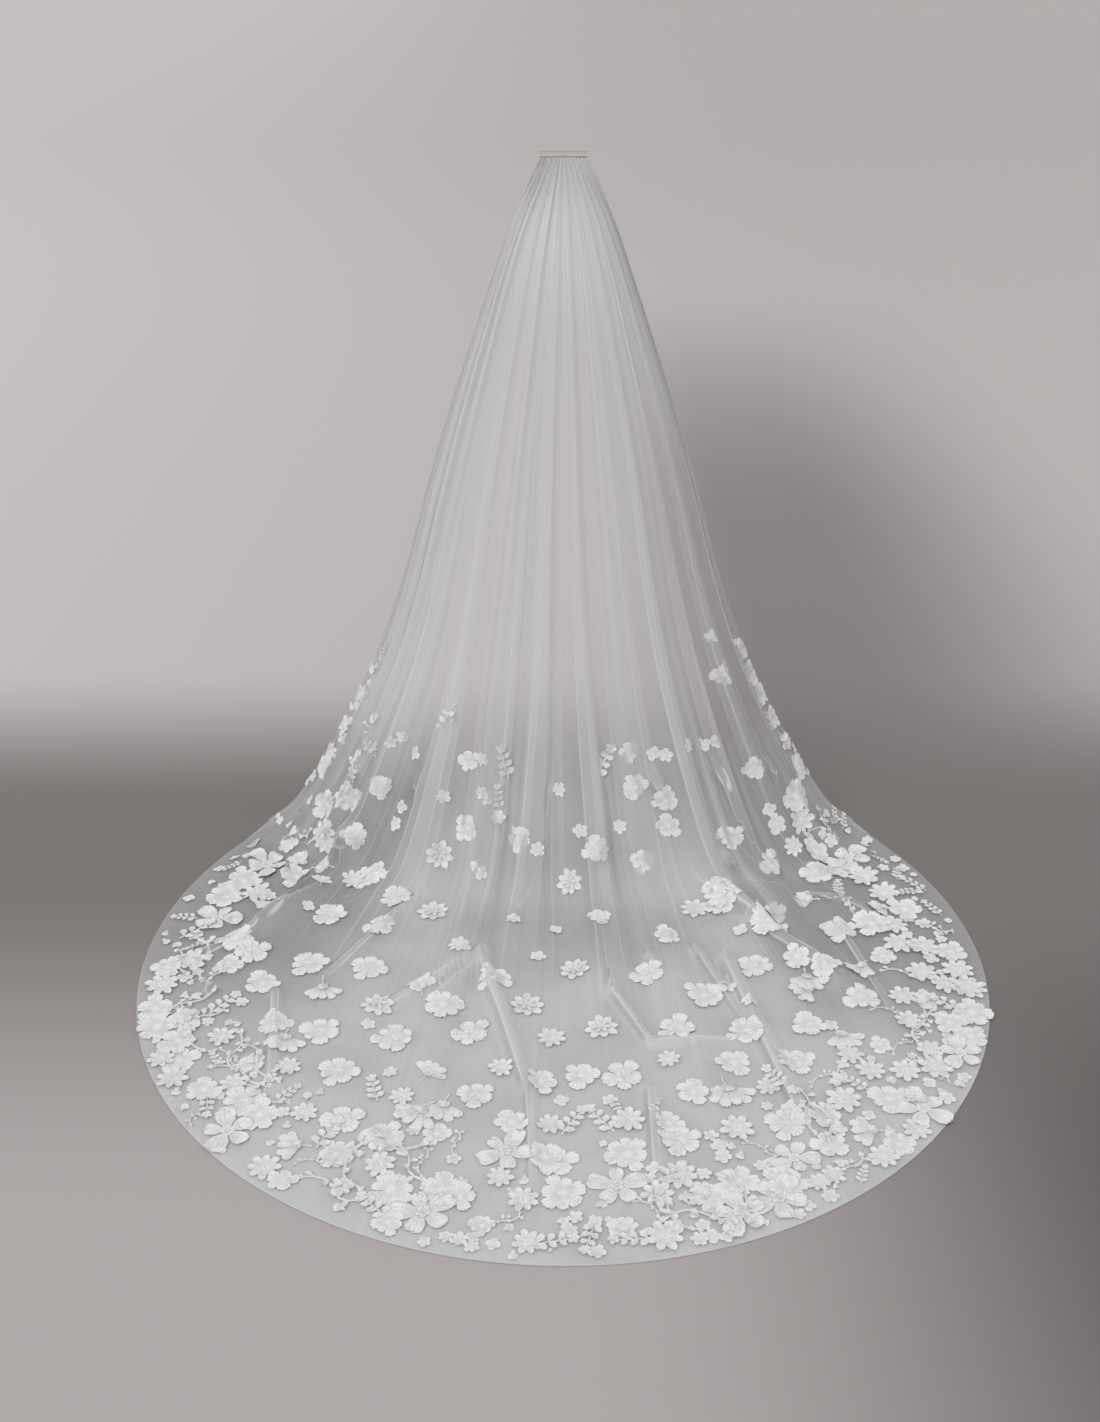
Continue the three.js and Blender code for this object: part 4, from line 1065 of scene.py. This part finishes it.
def keepInside(across, down, breadth):
    # moved in from the free edges by half the flower and a narrow margin
    room = border["margin"] + breadth / 2
    down = min(down, np.interp(across, cloth.across, cloth.lengths) - room)
    stretch = cloth.frameAt(np.array([across]), np.array([down]))[0][0]
    most = 1 - room / stretch
    return max(-most, min(most, across)), down


def sowTrims(taken):
    # places are tried at random and kept where they stand far enough from those already there
    rng = np.random.default_rng(border["seed"])
    down, spacing = cloth.down, cloth.spacing
    sideAway = (1 - np.abs(cloth.across[:, None])) * spacing
    edgeAway = np.minimum(sideAway, cloth.lengths[:, None] - down)
    area = spacing * np.gradient(down, axis=1)
    rim = np.concatenate([cloth.base[:, -1], cloth.base[0], cloth.base[-1]])
    sown = {}
    spots = [tuple(cloth.read(cloth.base, np.array([p[0]]), np.array([p[1]]))[0]) + (p[2],) for p in taken]
    for row in border["sown"]:
        within = (edgeAway < row["deep"]) * (down > row["from"]) * (down < row["until"])
        chance = (area * within * smooth(down, row["from"], row["from"] + border["startsOver"])).ravel()
        for cell in rng.choice(chance.size, row["tries"], p=chance / chance.sum()):
            i, j = divmod(int(cell), down.shape[1])
            kind = rng.choice(len(row["kinds"]), p=row["shares"])
            breadth = row["breadths"][kind] * rng.uniform(*border["vary"])
            turn = rng.uniform(0, 2 * math.pi)
            here = cloth.base[i, j]
            if np.linalg.norm(rim - here, axis=1).min() < border["hemGap"] + row["reach"] * breadth:
                continue
            others = np.array(spots)
            room = row["apart"] * (others[:, 3] + breadth) / 2
            if (np.linalg.norm(others[:, :3] - here, axis=1) < room).any():
                continue
            spots.append(tuple(here) + (breadth,))
            place = (cloth.across[i], down[i, j], breadth, turn, layerOf(len(spots)))
            sown.setdefault(row["kinds"][kind], []).append(place)
    return sown


def placeCharted(taken):
    # each charted flower comes on to the cloth where a look through its pixel meets it
    there = cloth.read(cloth.base, *np.array([p[:2] for p in taken]).T)
    placed = {}
    for kind, rows in charted.items():
        seen = pixelPlaces([row[:2] for row in rows])
        for number, (row, (across, down, depth, square)) in enumerate(zip(rows, seen)):
            wider = chartRules["middleWider"]
            if across * across > chartRules["sideFrom"]:
                wider = 1 / max(square, chartRules["leastSquare"]) ** 0.5
            breadth = row[2] * depth / photo["focal"] * wider
            breadth = float(np.clip(breadth, *chartRules["breadths"][kind]))
            turn = math.radians(row[3]) if len(row) > 3 else chartRules["turnStep"] * number
            across, down = keepInside(across, down, breadth)
            here = cloth.read(cloth.base, np.array([across]), np.array([down]))
            large = breadth > chartRules["largeFrom"] and kind not in ("sprig", "vine")
            if large and np.linalg.norm(there - here, axis=1).min() < chartRules["largeGap"]:
                continue
            place = (across, down, breadth, turn, layerOf(number))
            placed.setdefault(kind, []).append(place)
            taken.append(place)
    return placed


fillers = placeCharted(taken)
for kind, places in sowTrims(taken).items():
    fillers.setdefault(kind, []).extend(places)
for kind, places in fillers.items():
    forms = 3 if kind in ("blossom", "smallBlossom") else 1
    for form in range(forms):
        name = kind + "Scatter" + ("ABC"[form] if forms > 1 else "")
        sew(name, flowerShape(kind, 0, form), places[form::forms], None, False)
    print("veil:", kind, len(places), "more sewn on")


heading = {
    "gathers": 44,
    "gatherBreadth": 0.101,
    "gatherDepth": 0.0007,
    "gatherSway": (1.2, 310),
    "gatherDrop": 0.0004,
    "wall": 0.0011,
    "columns": 352,
    "archSteps": 30,
    "archPower": 0.4,
    "edgePower": 0.3,
    "stitchRows": (0.0012, -0.0052),
    "stitchDip": 0.0006,
    "stitchBreadth": 0.0011,
    "stitchHold": 0.6,
    "taper": 0.0011,
    "taperHeight": 0.006,
    "colour": (0.74, 0.74, 0.72, 1),
    # colour of the painted shade in the gathers' grooves
    "groove": (0.64, 0.635, 0.61, 1),
    "ivory": (0.50, 0.48, 0.40, 1),
    "ivoryFrom": (-0.006, 0.002),
    "crimpShade": 0.25,
    "threadGroove": 0.4,
    "threadNoise": 1400.0,
    "threadRelief": 0.6,
    "stitchLine": (0.0002, 0.0007),
    "stitchLength": 2600,
    "stitchEdge": (-0.6, 0.1),
    "bump": (0.6, 0.0005),
    "roughness": 0.8,
    "gloss": 0.3,
    "sheen": 0.2,
}
gatherWaves = heading["gathers"] * 2 * math.pi / heading["gatherBreadth"]


def headingMaterial():
    # painted shade in the gathers' grooves, threads that darken at random, two rows of stitches, and a deeper
    # ivory along the top
    material, start = newMaterial("gatheredBinding")
    where = start.objectPlace()
    across, up = where.part(0), where.part(2)
    crimp = (across * gatherWaves).math("COSINE")
    thread = where.noise(heading["threadNoise"])
    relief = thread * heading["threadRelief"]
    for row in heading["stitchRows"]:
        stitches = (across * heading["stitchLength"]).math("SINE").between(*heading["stitchEdge"])
        relief = up.near(row, *heading["stitchLine"]) * stitches + relief
    # painted shade: darker in the gathers' grooves, and darker at random along the threads
    deep = crimp * heading["crimpShade"] + heading["crimpShade"] + thread * heading["threadGroove"]
    body = deep.mixed(heading["colour"], heading["groove"])
    return finished(material, {
        "Base Color": up.between(*heading["ivoryFrom"]).mixed(body, heading["ivory"]),
        "Roughness": heading["roughness"],
        "Specular IOR Level": heading["gloss"],
        "Sheen Weight": heading["sheen"],
        "Normal": relief.bump(*heading["bump"]),
    })


def makeHeading():
    # a rounded arch carried along the comb, crimped by the gathers and drawn in along two stitch rows
    low, high = (np.array(v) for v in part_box("gathered_heading"))
    columns, steps = heading["columns"], heading["archSteps"]
    along = np.linspace(low[0], high[0], columns)[:, None]
    arch = np.linspace(0, math.pi, steps)
    half, middle = (high[1] - low[1]) / 2, (high[1] + low[1]) / 2
    outerY = middle - half * np.sign(np.cos(arch)) * np.abs(np.cos(arch)) ** heading["archPower"]
    outerZ = low[2] + (high[2] - low[2]) * np.sin(arch) ** heading["archPower"]
    innerY = middle + (outerY[::-1] - middle) * (1 - heading["wall"] / half)
    innerZ = low[2] + (outerZ[::-1] - low[2]) * (1 - heading["wall"] / (high[2] - low[2]))
    sway, swayWaves = heading["gatherSway"]
    crimp = 0.5 + 0.5 * np.cos(along * gatherWaves + sway * np.sin(along * swayWaves))
    rows = ((outerZ - row) / heading["stitchBreadth"] for row in heading["stitchRows"])
    dip = sum(np.exp(-away ** 2) for away in rows)[None]
    inward = heading["gatherDepth"] * crimp * (1 - heading["stitchHold"] * dip) + heading["stitchDip"] * dip
    taper = heading["taper"] * smooth((outerZ - low[2])[None], heading["taperHeight"], 0.0)
    inward = inward + taper * (outerY < middle)[None]
    edge = np.abs(np.cos(arch)) ** heading["edgePower"]
    y = outerY[None] - np.sign(outerY - middle)[None] * inward * edge
    z = outerZ[None] - inward * np.sin(arch)[None] - heading["gatherDrop"] * (1 - crimp)
    y = np.concatenate([y, np.broadcast_to(innerY, (columns, steps))], 1)
    z = np.maximum(np.concatenate([z, np.broadcast_to(innerZ, (columns, steps))], 1), low[2])
    count = 2 * steps
    points = np.stack([np.broadcast_to(along, y.shape), y, z], -1)
    i, j = np.meshgrid(np.arange(columns - 1), np.arange(count), indexing="ij")
    here, after = (i * count + j).ravel(), (i * count + (j + 1) % count).ravel()
    walls = np.stack([here, after, after + count, here + count], -1)
    k = np.arange(steps - 1)
    end = np.stack([k, count - 1 - k, count - 2 - k, k + 1], -1)
    caps = np.concatenate([end, end[:, ::-1] + (columns - 1) * count])
    return meshObject("ruchedHeading", points, np.concatenate([walls, caps]), headingMaterial())


ruched = makeHeading()
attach(ruched, "root")
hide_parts("gathered_heading")

combLook = {
    "colour": (0.85, 0.83, 0.77, 1),
    "deep": (0.78, 0.75, 0.68, 1),
    "roughness": 0.22,
    "flowRoughness": 0.12,
    "flowNoise": (180.0, 3.0),
    "bump": (0.15, 0.0004),
    "clear": 0.35,
    "refraction": 1.49,
}


def combMaterial():
    # pale moulded plastic with faint flow marks
    material, start = newMaterial("paleCombPlastic")
    flow = start.objectPlace().noise(*combLook["flowNoise"])
    return finished(material, {
        "Base Color": flow.mixed(combLook["colour"], combLook["deep"]),
        "Roughness": flow * combLook["flowRoughness"] + combLook["roughness"],
        "Transmission Weight": combLook["clear"],
        "IOR": combLook["refraction"],
        "Normal": flow.bump(*combLook["bump"]),
    })


combPlastic = combMaterial()
comb = bpy.data.objects["comb"]
for slot in comb.material_slots:
    slot.material = combPlastic
print("veil: heading and comb finished")

studio = {
    "floorSize": 60,
    # the paper's grey with painted light and shade: lit in front and far behind on the left, a painted shade
    # band round the veil's foot, painted shade to the right and far off
    "paintedLightTones": {
        "litFrontLeft": (0.458, 0.424, 0.412, 1),
        "shadedFrontRight": (0.125, 0.111, 0.106, 1),
        "shadeBandLeft": (0.214, 0.195, 0.186, 1),
        "shadeBandRight": (0.209, 0.190, 0.182, 1),
        "litBackLeft": (0.660, 0.618, 0.608, 1),
        "shadedBackRight": (0.510, 0.470, 0.460, 1),
        "shadedFarthest": (0.420, 0.385, 0.375, 1),
    },
    # smooth steps across the floor (+x) and back over it (+y) in metres, and shares
    "turn": (0.0, 1.25, 1.7, 2.8),
    "bandFrom": (-1.35, -0.25),
    "bandEnds": (2.0, 3.4),
    "backFrom": (0.08, 0.92),
    "farAcross": (-5.5, 2.2),
    "farthestFrom": (4.0, 12.0),
    "farthestShare": 0.25,
    # where the painted shadow of the veil lies on the floor, and how dark it is
    "shadeAcross": (0.1, 0.65, 0.9, 2.1),
    "shadeUntil": (1.9, 6.0),
    "shadeDepth": 0.65,
    "floorGap": 0.0004,
    "gloss": 0.15,
    "roughness": 0.9,
    "world": (0.97, 0.98, 1.0, 1),
    "worldStrength": 0.70,
    "sunStrength": 1.05,
    "sunSpread": 40,
    "sunTilt": 44,
    "sunTurn": -32,
    "clearBounces": 48,
}


def floorMaterial():
    # grey paper with painted light and shade: lighter in front and far behind, with a painted shade band
    # round the veil's foot
    material, start = newMaterial("paperFloorPaintedLight")
    paintedLightTones = studio["paintedLightTones"]
    where = start.objectPlace()
    right, back = where.part(0), where.part(1)
    # painted shade: the front and the band round the veil's foot are darker to the right
    turn = right.within(*studio["turn"])
    front = turn.mixed(paintedLightTones["litFrontLeft"], paintedLightTones["shadedFrontRight"])
    band = turn.mixed(paintedLightTones["shadeBandLeft"], paintedLightTones["shadeBandRight"])
    # painted shadow of the veil, to the right of it and behind it
    shade = right.within(*studio["shadeAcross"]) * (1 - back.between(*studio["shadeUntil"]))
    far = right.between(*studio["farAcross"]).mixed(paintedLightTones["litBackLeft"], paintedLightTones["shadedBackRight"])
    far = (shade * studio["shadeDepth"]).mixed(far, paintedLightTones["shadedFrontRight"])
    # painted shade: the floor far off is darker
    beyond = back.between(*studio["farthestFrom"]) * studio["farthestShare"]
    far = beyond.mixed(far, paintedLightTones["shadedFarthest"])
    inside = 1 - right.math("ABSOLUTE").between(*studio["bandEnds"])
    near = (back.between(*studio["bandFrom"]) * inside).mixed(front, band)
    return finished(material, {
        "Base Color": back.between(*studio["backFrom"]).mixed(near, far),
        "Roughness": studio["roughness"],
        "Specular IOR Level": studio["gloss"],
    })


def makeStudio():
    half = studio["floorSize"] / 2
    corners = np.array([(-half, -half), (half, -half), (half, half), (-half, half)])
    points = np.concatenate([corners, np.full((4, 1), -hangHeight - studio["floorGap"])], 1)
    floor = meshObject("paperSweep", points, np.array([[0, 1, 2, 3]]), floorMaterial())
    world = bpy.data.worlds.new("softRoom")
    world.use_nodes = True
    sky = world.node_tree.nodes["Background"]
    sky.inputs["Color"].default_value = studio["world"]
    sky.inputs["Strength"].default_value = studio["worldStrength"]
    bpy.context.scene.world = world
    sun = bpy.data.lights.new("softKey", "SUN")
    sun.energy = studio["sunStrength"]
    sun.angle = math.radians(studio["sunSpread"])
    key = bpy.data.objects.new("softKey", sun)
    key.rotation_euler = (math.radians(studio["sunTilt"]), 0, math.radians(studio["sunTurn"]))
    bpy.context.collection.objects.link(key)


def makeCamera():
    # the sensor lies along the taller side of the frame; the lens follows from the focal length in pixels
    lens = bpy.data.cameras.new("photoCamera")
    lens.sensor_width = photo["sensor"]
    lens.lens = photo["focal"] * photo["sensor"] / photo["high"]
    lens.clip_end = photo["clipEnd"]
    camera = bpy.data.objects.new("photoCamera", lens)
    camera.location = photo["place"]
    camera.rotation_euler = (math.radians(90 - photo["pitch"]), 0, 0)
    bpy.context.collection.objects.link(camera)
    bpy.context.scene.camera = camera


makeStudio()
makeCamera()
bpy.context.scene.view_settings.view_transform = "Standard"
bpy.context.scene.cycles.transparent_max_bounces = studio["clearBounces"]
print("veil: studio and camera set")
